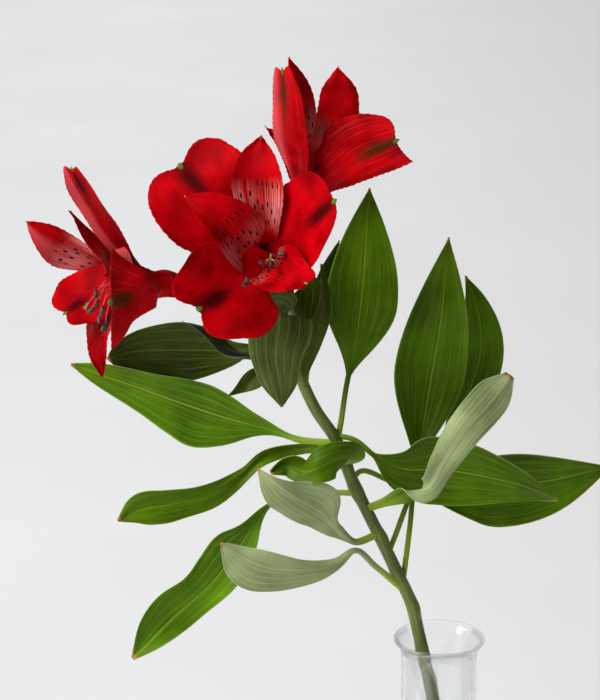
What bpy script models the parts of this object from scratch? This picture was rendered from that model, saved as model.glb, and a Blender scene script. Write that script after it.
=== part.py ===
"""Alstroemerias in a vase: a cut stem with three flowers and its leaves, standing in a glass vase of water.

The origin is the centre of the vase's flat underside, +Z is up and the flowers face -Y. Points of the plant
are in millimetres from the centre of the vase's rim, so the plant keeps its place when the vase changes."""

import math

import bmesh
import bpy
import numpy as np

mm = 0.001

# Vase
vase_height = 120 * mm
body_radius = 33 * mm
neck_radius = 11.5 * mm
lip_radius = 14.6 * mm
glass_wall = 1.5 * mm
base_thickness = 5 * mm
base_corner = 9 * mm
shoulder_start = 48 * mm
shoulder_end = 90 * mm
flare_height = 6 * mm
vase_sides = 32

# Water
water_depth = 56 * mm

# Plant
clearance = 0.3 * mm
stem_radius = 2.2 * mm
stem_top_radius = 1.7 * mm
stem_neck_gap = 1.8 * mm
stem_lean = 0.2
pedicel_radius = 1.05 * mm
leaf_thickness = 0.5 * mm
leaf_stalk = 0.8 * mm
petal_thickness = 0.5 * mm
petal_claw = 0.9 * mm
ovary_length = 5.2 * mm
ovary_radius = 2.3 * mm
inner_ring = 1.6 * mm
ring_gap = 0.3 * mm
outer_ring = inner_ring + petal_claw + ring_gap
filament_radius = 0.28 * mm
anther_length = 3.2 * mm
anther_radius = 0.7 * mm

blade_steps = 11
blade_strips = 5
front = (0, -1, 0)

for old in list(bpy.data.objects):
    bpy.data.objects.remove(old, do_unlink=True)
parts = bpy.data.collections.new("alstroemerias in a vase")
cutters = bpy.data.collections.new("cutters")
bpy.context.scene.collection.children.link(parts)
bpy.context.scene.collection.children.link(cutters)


# materials
def material(name, color, roughness, alpha=1.0, transmission=0.0):
    made = bpy.data.materials.new(name)
    made.use_nodes = True
    shader = made.node_tree.nodes["Principled BSDF"]
    shader.inputs["Base Color"].default_value = (*color, 1)
    shader.inputs["Roughness"].default_value = roughness
    shader.inputs["Metallic"].default_value = 0
    shader.inputs["Alpha"].default_value = alpha
    shader.inputs["Transmission Weight"].default_value = transmission
    made.diffuse_color = (*color, 1)
    return made


glass = material("clear glass", (0.92, 0.95, 0.95), 0.03, transmission=1.0)
water = material("water", (0.9, 0.96, 0.97), 0.02, transmission=1.0)
stem_green = material("stem green", (0.16, 0.25, 0.06), 0.5)
leaf_green = material("leaf green", (0.05, 0.13, 0.015), 0.45)
leaf_pale = material("leaf underside", (0.2, 0.27, 0.12), 0.6)
petal_red = material("petal red", (0.6, 0.0, 0.01), 0.5)
inner_red = material("inner petal red", (0.7, 0.02, 0.03), 0.5)
ovary_green = material("ovary green", (0.12, 0.2, 0.05), 0.5)
filament_red = material("filament red", (0.55, 0.01, 0.02), 0.45)


# geometry
def unit(v):
    """Each vector of the list at length one."""
    return v / np.maximum(np.linalg.norm(v, axis=-1, keepdims=True), 1e-9)


def smooth_path(points, count):
    """Points at even steps along a smooth curve through the given ones."""
    points = np.asarray(points, float)
    gaps = np.linalg.norm(np.diff(points[:, :3], axis=0), axis=1)
    knots = np.concatenate([[0], np.cumsum(gaps)]) / gaps.sum()
    slopes = np.gradient(points, knots, axis=0)
    at = np.linspace(0, 1, count)
    i = np.clip(np.searchsorted(knots, at) - 1, 0, len(knots) - 2)
    step = (knots[i + 1] - knots[i])[:, None]
    t = (at - knots[i])[:, None] / step
    ends = (1 + 2 * t) * (1 - t) ** 2 * points[i] + t**2 * (3 - 2 * t) * points[i + 1]
    return ends + step * (t * (1 - t) ** 2 * slopes[i] + t**2 * (t - 1) * slopes[i + 1])


def from_rim(points):
    """Millimetres from the rim's centre to metres from the origin. A fourth number, an angle, stays."""
    rows = np.array([(*row, 0)[:4] for row in points], float)
    rows[:, :3] = rows[:, :3] * mm + (0, 0, vase_height)
    return rows


def blade_outline(along, stalk, belly, base, tip, end):
    """Half-width along a blade, as a share of its widest: it swells to the belly and narrows to its end."""
    share = np.clip((along - stalk) / (1 - stalk), 0, 1)
    swell = np.sin(math.pi / 2 * np.clip(share / belly, 0, 1)) ** base
    narrow = np.cos(math.pi / 2 * np.clip((share - belly) / (1 - belly), 0, 1)) ** tip
    return np.where(share < belly, swell, end + (1 - end) * narrow)


def blade_surface(rows, left, right, facing, stalk, stalk_half, belly, base, tip, end, lobe, bow, curl):
    """A grid of points: along the midrib from the stalk to the tip, and across from left to right.

    Rows hold the midrib's points and how far the blade turns about the midrib there, in degrees. Unturned,
    its upper side looks along facing. Curl is half the angle that a section across the blade bends through.
    Lobe pushes the two sides of the tip ahead of the midrib, and bow draws the blade's corners back."""
    along = np.linspace(0, 1, blade_steps)
    path = smooth_path(rows, blade_steps)
    midrib = path[:, :3]
    turn = np.radians(path[:, 3])[:, None]
    forward = unit(np.gradient(midrib, axis=0))
    level = unit(facing - (facing * forward).sum(axis=1, keepdims=True) * forward)
    side = np.cross(forward, level)
    up = level * np.cos(turn) + side * np.sin(turn)
    side = np.cross(forward, up)
    across = np.linspace(-1, 1, blade_strips)
    half = np.where(across < 0, left, right) * blade_outline(along, stalk, belly, base, tip, end)[:, None]
    half = np.maximum(half, stalk_half * np.clip((1 - along) / 0.06, 0.5, 1)[:, None])
    sideways = half * np.sin(curl * across) / curl
    lift = half * (1 - np.cos(curl * across)) / curl
    notch = lobe * 4 * np.abs(across) * (1 - np.abs(across)) - bow * across**2
    ahead = (left + right) / 2 * along[:, None] ** 4 * notch
    return (
        midrib[:, None]
        + sideways[..., None] * side[:, None]
        + lift[..., None] * up[:, None]
        + ahead[..., None] * forward[:, None]
    )


def finish(obj, paint, smooth=True):
    obj.data.materials.append(paint)
    for owner in list(obj.users_collection):
        owner.objects.unlink(obj)
    parts.objects.link(obj)
    if smooth and obj.type == "MESH":
        obj.data.shade_smooth()
        obj.data.set_sharp_from_angle(angle=math.radians(50))
    return obj


def sheet(name, grid, thickness, paint):
    """The grid as an open surface, given its thickness by Solidify."""
    rows, columns = grid.shape[:2]
    faces = [
        (i * columns + j, (i + 1) * columns + j, (i + 1) * columns + j + 1, i * columns + j + 1)
        for i in range(rows - 1)
        for j in range(columns - 1)
    ]
    mesh = bpy.data.meshes.new(name)
    mesh.from_pydata([tuple(point) for point in grid.reshape(-1, 3)], [], faces)
    obj = finish(bpy.data.objects.new(name, mesh), paint)
    solid = obj.modifiers.new("thickness", "SOLIDIFY")
    solid.thickness = thickness
    solid.offset = 0
    return obj


def tube(name, points, radius, sides=2, end_radius=None):
    """A curve with a round bevel and filled ends through the points, its radius even or tapering."""
    curve = bpy.data.curves.new(name, "CURVE")
    curve.dimensions = "3D"
    curve.bevel_depth = radius
    curve.bevel_resolution = sides
    curve.use_fill_caps = True
    line = curve.splines.new("POLY")
    line.points.add(len(points) - 1)
    taper = np.linspace(1, 1 if end_radius is None else end_radius / radius, len(points))
    for place, point, share in zip(line.points, points, taper):
        place.co = (*point, 1)
        place.radius = share
    return bpy.data.objects.new(name, curve)


def as_mesh(obj):
    """The curve object as a mesh object with its end caps welded on."""
    bpy.context.scene.collection.objects.link(obj)
    graph = bpy.context.evaluated_depsgraph_get()
    mesh = bpy.data.meshes.new_from_object(obj.evaluated_get(graph))
    made = bpy.data.objects.new(obj.name, mesh)
    made.matrix_world = obj.matrix_world
    name = obj.name
    bpy.data.objects.remove(obj, do_unlink=True)
    made.name = name
    welded = bmesh.new()
    welded.from_mesh(mesh)
    bmesh.ops.remove_doubles(welded, verts=welded.verts, dist=0.01 * mm)
    bmesh.ops.recalc_face_normals(welded, faces=welded.faces)
    welded.to_mesh(mesh)
    welded.free()
    return made


def cutter(obj):
    cutters.objects.link(obj)
    obj.hide_render = True
    obj.display_type = "WIRE"
    return obj


def combine(obj, other, operation):
    change = obj.modifiers.new(operation.lower(), "BOOLEAN")
    change.operation = operation
    change.solver = "EXACT"
    change.object = other


def turned(name, profile, paint):
    """The profile, (radius, height) pairs down its outer side, turned about Z by a Screw modifier."""
    mesh = bpy.data.meshes.new(name)
    points = [(radius, 0, height) for radius, height in profile]
    mesh.from_pydata(points, [(i, i + 1) for i in range(len(points) - 1)], [])
    obj = finish(bpy.data.objects.new(name, mesh), paint, smooth=False)
    screw = obj.modifiers.new("turn", "SCREW")
    screw.axis = "Z"
    screw.steps = vase_sides
    screw.render_steps = vase_sides
    screw.use_merge_vertices = True
    screw.merge_threshold = 0.00001
    screw.use_smooth_shade = True
    return obj


# vase and water
def vase_radius(height):
    """The outer radius of the vase above its rounded foot."""
    if height <= shoulder_start:
        return body_radius
    if height < shoulder_end:
        share = (height - shoulder_start) / (shoulder_end - shoulder_start)
        return neck_radius + (body_radius - neck_radius) * (1 + math.cos(math.pi * share)) / 2
    flare = max(0, (height - (vase_height - flare_height)) / flare_height)
    return neck_radius + (lip_radius - neck_radius) * flare**2


def wall_profile(inset, floor, top):
    """(radius, height) pairs up the wall from the axis, inset from the outer face, from floor to top."""
    corner = max(base_corner - inset, 1 * mm)
    foot = body_radius - inset
    pairs = [(0, floor)]
    for k in range(5):
        angle = math.pi / 2 * k / 4
        pairs.append((foot - corner + corner * math.sin(angle), floor + corner * (1 - math.cos(angle))))
    heights = [shoulder_start + (shoulder_end - shoulder_start) * k / 8 for k in range(9)]
    heights += [vase_height - flare_height * (1 - k / 3) for k in range(4)]
    pairs += [(vase_radius(height) - inset, height) for height in heights if height < top - 0.5 * mm]
    pairs.append((vase_radius(top) - inset, top))
    return pairs


def make_vase():
    inner = wall_profile(glass_wall, base_thickness, vase_height)
    outer = wall_profile(0, 0, vase_height)
    lip = glass_wall / 2
    rounding = [(lip_radius - lip + lip * 0.6 * side, vase_height + lip * 0.6) for side in (-1, 1)]
    return turned("vase", inner + rounding + outer[::-1], glass)


def make_water(stem_points):
    top = base_thickness + water_depth
    inset = glass_wall + clearance
    pairs = wall_profile(inset, base_thickness + clearance, top)
    body = turned("water", [*pairs, (0, top)][::-1], water)
    channel = as_mesh(tube("stem channel", stem_points, stem_radius + clearance, 3))
    combine(body, cutter(channel), "DIFFERENCE")


# stem
stem_rise = [(-9, 0, 12), (-13, 0, 21), (-20, 0, 36), (-27, 0, 51), (-32, 0, 64), (-38, 1, 73),
             (-43, 3, 85), (-44, 4, 91)]


def stem_centre():
    """The stem's centre line: straight from the vase's floor past the rim, then curving up."""
    at_rim = -(neck_radius - glass_wall - stem_radius - stem_neck_gap)
    drop = vase_height - base_thickness - clearance
    foot = (at_rim + stem_lean * drop, 0, base_thickness + clearance + stem_radius * stem_lean)
    rim = (at_rim, 0, vase_height)
    rest = from_rim(stem_rise)[:, :3]
    halfway = np.add(foot, rim) / 2
    return np.array([foot, halfway, rim, *rest])


centre_line = stem_centre()
stem_points = smooth_path(centre_line, 26)


def stem_radius_at(height):
    """The stem tapers evenly from its foot to its top."""
    share = (height - stem_points[0, 2]) / (stem_points[-1, 2] - stem_points[0, 2])
    return stem_radius + (stem_top_radius - stem_radius) * share


def stem_at(level):
    """The centre line's point at a height above the origin."""
    return np.array([np.interp(level, stem_points[:, 2], stem_points[:, axis]) for axis in range(3)])


def on_stem(height, toward, half_width):
    """A point just off the stem's surface at a height above the rim, on the side of the point toward."""
    level = vase_height + height * mm
    centre = stem_at(level)
    stem_way = unit(centre - stem_at(level - 2 * mm))
    way = unit(toward - centre)
    slant = float(way @ stem_way)
    outward = unit(way - slant * stem_way)
    room = clearance + half_width * abs(slant) + leaf_thickness / 2
    return centre + outward * (stem_radius_at(level) + room)


# leaves
def make_leaf(name, height, points, left, right, turn=0, pale=False, **shape):
    """A leaf that leaves the stem at a height above the rim and runs through the points, all in mm."""
    rows = from_rim(points)
    start = on_stem(height, rows[0, :3], leaf_stalk)
    rows = np.vstack([[*start, 0], rows])
    rows[:, 3] += turn
    form = dict(stalk=0.2, stalk_half=leaf_stalk, belly=0.45, base=1.6, tip=1, end=0, lobe=0, bow=0,
                curl=0.35)
    form.update(shape)
    grid = blade_surface(rows, left * mm, right * mm, np.array(front, float), **form)
    return sheet(name, grid, leaf_thickness, leaf_pale if pale else leaf_green)


def make_leaves():
    # The whorl where the stem divides, and the leaves below it
    make_leaf(
        "leaf_upright", 64,
        [(-30, 3, 71), (-29, 4, 78), (-26, 6, 93), (-24, 9, 109), (-23, 12, 124), (-22, 16, 137)],
        left=11, right=11, stalk=0.18, base=2.2,
    )
    make_leaf(
        "leaf_long_left", 63,
        [(-43, 4, 62.5), (-51, 7, 64.5), (-62, 8, 67), (-79, 8, 73), (-94, 7, 79), (-111, 6, 85.5)],
        left=12, right=8.8, stalk=0.2, belly=0.38, tip=1.2,
    )
    make_leaf(
        "leaf_narrow_left", 61.5,
        [(-43, -3, 62), (-54, -6, 60), (-59, -8, 56), (-68, -12, 51), (-81, -16, 49), (-90, -18, 48),
         (-96, -19, 45)],
        left=5, right=5, stalk=0.3, belly=0.5, tip=0.8,
    )
    make_leaf(
        "leaf_low_right", 64.5,
        [(-27, 0, 64), (-20, 2, 58), (-13, 3, 54), (0, 4, 53), (15, 2, 51), (26, -2, 49), (34, -7, 47)],
        left=11, right=11, stalk=0.15, belly=0.35,
    )
    make_leaf(
        "leaf_curled", 57,
        [(-28, -9, 62), (-32, -13, 63.5), (-37, -15, 63), (-43, -14, 61.5), (-47, -12, 62)],
        left=5, right=5, stalk=0.1, belly=0.5, curl=0.9,
    )
    make_leaf(
        "leaf_far_right", 51,
        [(-25, 4, 52), (-14, 12, 46), (-3, 18, 41), (13, 22, 41), (32, 24, 42), (54, 24, 47)],
        left=11, right=13.5, stalk=0.3,
    )
    make_leaf(
        "leaf_lowest_left", 47,
        [(-37, 6, 45), (-47, 10, 42), (-53, 12, 38), (-60, 12, 27), (-70, 9, 14), (-82, 5, 4),
         (-94, 0, -7)],
        left=6.5, right=9, stalk=0.32, belly=0.35, tip=0.8,
    )
    make_leaf(
        "leaf_pale_right", 42,
        [(-17, -5, 46), (-11, -9, 50), (-5, -13, 53), (-0.5, -15, 61.8), (4.7, -17, 71.3),
         (10.9, -17, 79.3), (16, -14, 84.8), (18.5, -12, 87.7)],
        left=6, right=6, stalk=0.12, belly=0.78, base=0.8, tip=0.5, turn=180, pale=True,
    )
    make_leaf(
        "leaf_pale_middle", 34,
        [(-26, -5, 33), (-31, -9, 38), (-36, -13, 45), (-43, -17, 51), (-50, -19, 57), (-55, -18, 61)],
        left=8.5, right=8, belly=0.4, base=1, tip=0.8, turn=180, pale=True,
    )
    make_leaf(
        "leaf_back_right", 28,
        [(-4.5, 17, 50), (5, 26, 62), (11, 28, 74), (13, 29, 88), (11, 30, 99), (8, 32, 106)],
        left=8, right=7.5, stalk=0.4, belly=0.5,
    )
    make_leaf(
        "leaf_tall_right", 19,
        [(-9, 6, 36), (-8, 10, 47), (-6, 13, 59), (-3, 16, 77), (0, 17, 98), (2, 20, 121)],
        left=12, right=10, stalk=0.3, base=1.5,
    )
    make_leaf(
        "leaf_pale_low", 17,
        [(-20, -4, 25), (-26, -7, 31), (-32, -11, 28.5), (-43, -15, 28), (-54, -18, 30.5),
         (-66, -20, 38.5)],
        left=5, right=9.6, stalk=0.35, belly=0.65, tip=0.8, turn=180, pale=True,
    )
    # The bracts under the flowers
    make_leaf(
        "bract_edge", 80,
        [(-41, -4, 89), (-38, -5, 98), (-36, -4, 106), (-36, 0, 117)],
        left=5, right=5, turn=60,
    )
    make_leaf(
        "bract_folded", 82,
        [(-45, -6, 96), (-47, -9, 105), (-49, -14, 102), (-49, -17, 94), (-48, -16, 85), (-46, -11, 79)],
        left=8.5, right=8.5, stalk=0.08, belly=0.35, base=1, tip=0.5, curl=-0.9, pale=True,
    )
    make_leaf(
        "bract_small", 84,
        [(-50, 5, 85), (-55, 7, 82), (-59, 7, 79), (-64, 5, 76)],
        left=3.5, right=3.5, curl=0.9,
    )
    make_leaf(
        "bract_left", 87,
        [(-55, 8, 90), (-63, 11, 88), (-73, 12, 88), (-83, 12, 88), (-94, 10, 88), (-100, 6, 87)],
        left=9.3, right=9.3, stalk=0.15, belly=0.55, tip=0.6,
    )
    make_leaf(
        "bract_twisted", 88,
        [(-51, -1, 90), (-57, -2, 90), (-64, -4, 92), (-70, -5, 97), (-77, -5, 102)],
        left=4, right=4, stalk=0.3, turn=75,
    )
    make_leaf(
        "bract_right", 87,
        [(-39, 9, 98), (-35, 11, 107), (-33, 12, 115), (-31, 12, 122)],
        left=4, right=4,
    )
    make_leaf(
        "bract_behind", 89,
        [(-42, 0, 94), (-40, 2, 101), (-39, 4, 107), (-39, 6, 113)],
        left=6, right=6,
    )


# flowers
class Flower:
    """Where a flower sits: the top of its ovary, the way its tube points, and two directions across it."""

    def __init__(self, name, base, mouth):
        self.name = name
        self.base, self.mouth = from_rim([base, mouth])[:, :3]
        self.axis = unit(self.mouth - self.base)
        self.across = unit(np.array([0, 0, 1]) - self.axis[2] * self.axis)
        self.beyond = np.cross(self.axis, self.across)

    def around(self, degrees):
        """The direction outward from the axis at an angle about it."""
        angle = math.radians(degrees)
        return math.cos(angle) * self.across + math.sin(angle) * self.beyond


def make_tepal(flower, name, degrees, points, left, right, outer, face=None, **shape):
    """One tepal: it rises from its ring about the ovary's top, then runs through the points.

    Its inner side looks along face, or else along the flower's axis and inwards."""
    out = flower.around(degrees)
    ring = outer_ring if outer else inner_ring
    low = flower.base + flower.axis * 0.4 * mm + out * ring
    claw = flower.base + flower.axis * 8 * mm + out * (ring + 0.8 * mm)
    rows = np.vstack([[*low, 0], [*claw, 0], from_rim(points)])
    away = smooth_path(rows, blade_steps)[:, :3] - flower.base
    radial = unit(away - (away @ flower.axis)[:, None] * flower.axis)
    form = dict(stalk=0, stalk_half=petal_claw, belly=0.68, base=1.5, tip=0.75, end=0, lobe=0, bow=0,
                curl=0.45)
    if outer:
        form.update(belly=0.74, base=1.8, tip=0.7, end=0.5, lobe=0.3, bow=0.35, curl=0.4)
    form.update(shape)
    facing = flower.axis - radial if face is None else unit(np.array(face, float))
    grid = blade_surface(rows, left * mm, right * mm, facing, **form)
    return sheet(f"{flower.name}_{name}", grid, petal_thickness, petal_red if outer else inner_red)


def make_pedicel(flower, side, by=None):
    """The flower's own stalk, from just above the stem's top to just below the ovary, and past by."""
    top = stem_points[-1]
    way = unit(stem_points[-1] - stem_points[-3])
    side = np.array(side, float)
    outward = unit(side - (side @ way) * way)
    start = top + way * clearance * 1.5 + outward * (pedicel_radius * 2 + clearance) / math.sqrt(3)
    below = ovary_length + 2 * clearance
    route = [
        start,
        start + way * 4 * mm + outward * 1.5 * mm,
        *([] if by is None else from_rim([by])[:, :3]),
        flower.base - flower.axis * (below + 5 * mm),
        flower.base - flower.axis * below,
    ]
    obj = as_mesh(tube(f"{flower.name}_pedicel", smooth_path(route, 9), pedicel_radius))
    return finish(obj, stem_green)


def make_ovary(flower):
    """The green seed vessel under the tepals, an egg along the flower's axis."""
    centre = flower.base - flower.axis * (ovary_length / 2 + clearance / 2)
    bpy.ops.mesh.primitive_uv_sphere_add(segments=10, ring_count=6, radius=1)
    obj = bpy.context.active_object
    obj.name = f"{flower.name}_ovary"
    turn = np.column_stack([flower.across, flower.beyond, flower.axis])
    size = np.diag([ovary_radius, ovary_radius, ovary_length / 2 - clearance / 2])
    place(obj, turn @ size, centre)
    return finish(obj, ovary_green)


def place(obj, turn, centre):
    """Moves the mesh's own points by a 3 x 3 turn and a shift, and leaves the object at the origin."""
    points = np.empty(len(obj.data.vertices) * 3)
    obj.data.vertices.foreach_get("co", points)
    obj.data.vertices.foreach_set("co", (points.reshape(-1, 3) @ turn.T + centre).ravel())
    obj.data.update()


def make_anther(centre, way):
    """A pollen sac: a small egg along the end of its filament."""
    bpy.ops.mesh.primitive_uv_sphere_add(segments=6, ring_count=4, radius=1)
    obj = bpy.context.active_object
    side = unit(np.cross(way, (0.3, 0.5, 0.81)))
    turn = np.column_stack([side, np.cross(way, side), way])
    place(obj, turn @ np.diag([anther_radius, anther_radius, anther_length / 2]), centre)
    for owner in list(obj.users_collection):
        owner.objects.unlink(obj)
    return obj


def make_stamens(flower, ends):
    """Filaments with their anthers, and last the style, on one small foot on the ovary."""
    low = flower.base + flower.axis * 0.5 * mm
    foot = as_mesh(tube(f"{flower.name}_stamens", [low, low + flower.axis * 2 * mm], 1.0 * mm))
    finish(foot, filament_red)
    for k, end in enumerate(from_rim(ends)[:, :3]):
        style = k == len(ends) - 1
        out = flower.around(360 * k / (len(ends) - 1)) * (0 if style else 0.55 * mm)
        route = [
            low + flower.axis * 1 * mm + out,
            low + flower.axis * 9 * mm + out * 1.6,
            (low + flower.axis * 22 * mm + end) / 2 + out,
            end,
        ]
        points = smooth_path(route, 6)
        thread = as_mesh(tube(f"{flower.name}_thread_{k}", points, filament_radius, 0))
        combine(foot, cutter(thread), "UNION")
        if not style:
            sac = make_anther(end, unit(points[-1] - points[-2]))
            sac.name = f"{flower.name}_anther_{k}"
            combine(foot, cutter(sac), "UNION")
    return foot


def make_centre_flower():
    flower = Flower("centre", (-47.5, 8, 106.5), (-53.5, -18, 123))
    make_tepal(
        flower, "outer_left", 40,
        [(-58, -9, 127), (-64, -12, 136.5), (-71, -12, 143.5), (-77.5, -8, 149.5)],
        left=16, right=16, outer=True, curl=0.3,
    )
    make_tepal(
        flower, "outer_right", -70,
        [(-45, -13.5, 122), (-40.5, -24, 131), (-36.5, -31, 138.5), (-34, -33, 143.5)],
        left=16, right=13, outer=True, base=2.3,
    )
    make_tepal(
        flower, "outer_low", 165,
        [(-54, -17, 112.5), (-58.5, -30, 115.5, -20), (-64, -38, 116.5, -30), (-70.5, -40, 115, -30)],
        left=18, right=15, outer=True, base=1.9,
    )
    make_tepal(
        flower, "inner_top", -10,
        [(-52.5, -14.5, 129.5), (-54, -19, 143), (-54.5, -18, 151), (-53.5, -13, 158.5)],
        left=7.5, right=7.5, outer=False, base=1.8,
    )
    make_tepal(
        flower, "inner_left", 95,
        [(-59, -19, 126.5), (-63.5, -25, 135.5), (-69, -26, 140.5), (-74.5, -24, 143.5)],
        left=6.5, right=6.5, outer=False, base=1.8,
    )
    make_tepal(
        flower, "inner_low", -125,
        [(-49.5, -16, 117.5), (-48, -27, 120.5), (-44.5, -34, 123), (-40, -36, 125.5)],
        left=7, right=7, outer=False, base=1.8,
    )
    make_ovary(flower)
    make_pedicel(flower, (0, 1, 0.2))
    make_stamens(
        flower,
        [(-48, -24, 127), (-50.5, -26, 124.5), (-48.5, -21, 124), (-57.5, -30, 121), (-58, -26.5, 119),
         (-53.5, -22, 124), (-51, -24, 125.5)],
    )


def make_left_flower():
    flower = Flower("left", (-77, 6, 109), (-95, -2, 116.5))
    make_tepal(
        flower, "outer_top", 0,
        [(-86.5, -2, 119), (-97, -4, 130.5, 20), (-103.5, -6, 140.5, 20), (-107, -8, 147, 20)],
        left=7, right=7, outer=True,
    )
    make_tepal(
        flower, "outer_near", -110,
        [(-84.5, -8, 113.5), (-90, -18, 114), (-93.5, -24, 114), (-96, -26, 113.5)],
        left=15, right=13, outer=True, end=0.9, lobe=0.1, curl=0.3, belly=0.9, base=1.5, bow=0.2,
    )
    make_tepal(
        flower, "outer_far", 130,
        [(-92.5, 8, 108), (-101.5, 10, 104.5), (-107, 8, 103.5), (-111, 2, 106.5)],
        left=12, right=12, outer=True,
    )
    make_tepal(
        flower, "inner_near", -50,
        [(-91.5, -8, 120), (-100, -13, 127.5), (-104.5, -15, 133.5), (-108, -16, 137.5)],
        left=5, right=5, outer=False,
    )
    make_tepal(
        flower, "inner_top", 60,
        [(-92, -4, 119), (-105, -6, 121.5, 40), (-113, -8, 127, 40), (-121, -8, 132.5, 40)],
        left=8, right=8, outer=False,
    )
    make_tepal(
        flower, "inner_low", 180,
        [(-90, 1, 107), (-97, -4, 101.5), (-101.5, -7, 94), (-100.5, -9, 85.5)],
        left=5.5, right=5.5, outer=False,
    )
    make_ovary(flower)
    make_pedicel(flower, (-1, -0.5, 0))
    make_stamens(
        flower,
        [(-102, -6, 110.5), (-103.5, -6, 105.5), (-100, -10, 106.5), (-101, -8, 103.5), (-99.5, -8, 101),
         (-102, -3, 107), (-104.5, -4, 107)],
    )


def make_right_flower():
    flower = Flower("right", (-42, 15, 123), (-35, 12, 145))
    make_tepal(
        flower, "outer_left", 40,
        [(-43.2, 10, 136.3), (-45.6, 7, 150.4, 35), (-47, 5, 162.6, 35), (-47.8, 5, 173.7, 35)],
        left=7, right=7, outer=True, base=1.3,
    )
    make_tepal(
        flower, "outer_right", 140,
        [(-36.5, 6.8, 135.5), (-29.5, 3, 144.5), (-22.4, 1, 150.5), (-15, 0, 154.5)],
        left=7.6, right=12.8, outer=True, end=0.7, base=1.5, face=(0.1, 1, -0.1),
    )
    make_tepal(
        flower, "outer_back", -60,
        [(-44.1, 22, 138.1), (-45.9, 26, 143.3), (-48.3, 29, 147.6), (-52.5, 29, 152.3)],
        left=5.5, right=5.5, outer=True, end=0, lobe=0, bow=0,
    )
    make_tepal(
        flower, "inner_left", -15,
        [(-42.2, 15.6, 136.4), (-42, 18, 148.1), (-42.9, 20, 161.2), (-45.9, 22, 174.8)],
        left=6.5, right=6.5, outer=False,
    )
    make_tepal(
        flower, "inner_front", 74,
        [(-38.6, 11.3, 139), (-34.3, 10, 151), (-31.8, 9, 162.2), (-31.7, 8, 174.5)],
        left=6.4, right=6.4, outer=False, face=(0.1, 1, -0.1),
    )
    make_tepal(
        flower, "inner_back", -125,
        [(-34.5, 18, 135.5), (-33, 24, 143.6), (-32.3, 28, 149), (-30.6, 30, 152.3)],
        left=6, right=6, outer=False,
    )
    make_ovary(flower)
    make_pedicel(flower, (1, -0.5, 0), (-41.5, 10, 104))
    make_stamens(
        flower,
        [(-37, 13, 154), (-34.5, 12, 156), (-32.5, 13, 153), (-33, 16, 152), (-35.5, 17, 155),
         (-38, 16, 151), (-35.5, 14.5, 158)],
    )


make_vase()
make_water(smooth_path(centre_line, 26)[:16])
finish(as_mesh(tube("stem", stem_points, stem_radius, 2, stem_top_radius)), stem_green)
make_leaves()
make_centre_flower()
make_left_flower()
make_right_flower()
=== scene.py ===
import functools
import math

import bpy
import numpy as np
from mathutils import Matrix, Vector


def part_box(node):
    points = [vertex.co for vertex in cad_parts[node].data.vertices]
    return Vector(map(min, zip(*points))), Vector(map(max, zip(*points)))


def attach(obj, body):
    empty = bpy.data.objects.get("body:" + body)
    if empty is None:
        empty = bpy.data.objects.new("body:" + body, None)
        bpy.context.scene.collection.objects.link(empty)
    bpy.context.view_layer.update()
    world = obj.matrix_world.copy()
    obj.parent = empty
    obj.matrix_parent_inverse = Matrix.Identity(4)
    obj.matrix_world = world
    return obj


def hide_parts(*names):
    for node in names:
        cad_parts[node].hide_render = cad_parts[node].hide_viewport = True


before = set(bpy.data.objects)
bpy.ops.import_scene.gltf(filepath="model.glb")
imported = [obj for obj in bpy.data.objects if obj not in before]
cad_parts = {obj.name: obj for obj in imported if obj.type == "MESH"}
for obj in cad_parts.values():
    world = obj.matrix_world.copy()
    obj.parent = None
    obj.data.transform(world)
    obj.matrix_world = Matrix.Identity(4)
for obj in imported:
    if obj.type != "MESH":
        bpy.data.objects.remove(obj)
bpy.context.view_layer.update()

mm = 0.001
vaseLow, vaseHigh = (np.array(corner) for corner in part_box("vase"))
lipRounding = 0.45 * mm
rimCentre = np.array([*(vaseLow + vaseHigh)[:2] / 2, vaseHigh[2] - lipRounding])
print("frame loaded, rim at", np.round(rimCentre, 4))


# An sRGB hex colour as linear red, green, blue and alpha: ((c + 0.055) / 1.055) ^ 2.4 for each channel
def colour(hexText):
    channels = [int(hexText[k:k + 2], 16) / 255 for k in (1, 3, 5)]
    return (*[c / 12.92 if c <= 0.04045 else ((c + 0.055) / 1.055) ** 2.4 for c in channels], 1)


# A node of the kind, with its settings, and its inputs given as numbers, colours, nodes or sockets
def addNode(tree, kind, inputs=None, **settings):
    node = tree.nodes.new("ShaderNode" + kind)
    for name, value in settings.items():
        setattr(node, name, value)
    feed(node, inputs or {})
    return node


# Sets each named input: a node stands for its first live output
def feed(node, inputs):
    for key, value in inputs.items():
        if isinstance(value, bpy.types.Node):
            value = next(output for output in value.outputs if output.enabled)
        if isinstance(value, bpy.types.NodeSocket):
            node.id_data.links.new(value, node.inputs[key])
        else:
            node.inputs[key].default_value = value


# An empty material, its way to add a node, and its Principled shader with the given even settings
def newMaterial(name, sockets):
    made = bpy.data.materials.new(name)
    made.use_nodes = True
    shader = made.node_tree.nodes["Principled BSDF"]
    feed(shader, sockets)
    return made, functools.partial(addNode, made.node_tree), shader


# Each vector divided by its length
def unit(v):
    return v / np.maximum(np.linalg.norm(v, axis=-1, keepdims=True), 1e-9)


# Cubic curve through values at the knots, its slopes those of the neighbouring values
def curveThrough(knots, values, at):
    slopes = np.gradient(values, knots, axis=0)
    i = np.clip(np.searchsorted(knots, at) - 1, 0, len(knots) - 2)
    step = (knots[i + 1] - knots[i])[:, None]
    t = (at - knots[i])[:, None] / step
    ends = (1 + 2 * t) * (1 - t) ** 2 * values[i] + t**2 * (3 - 2 * t) * values[i + 1]
    return ends + step * (t * (1 - t) ** 2 * slopes[i] + t**2 * (t - 1) * slopes[i + 1])


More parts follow.
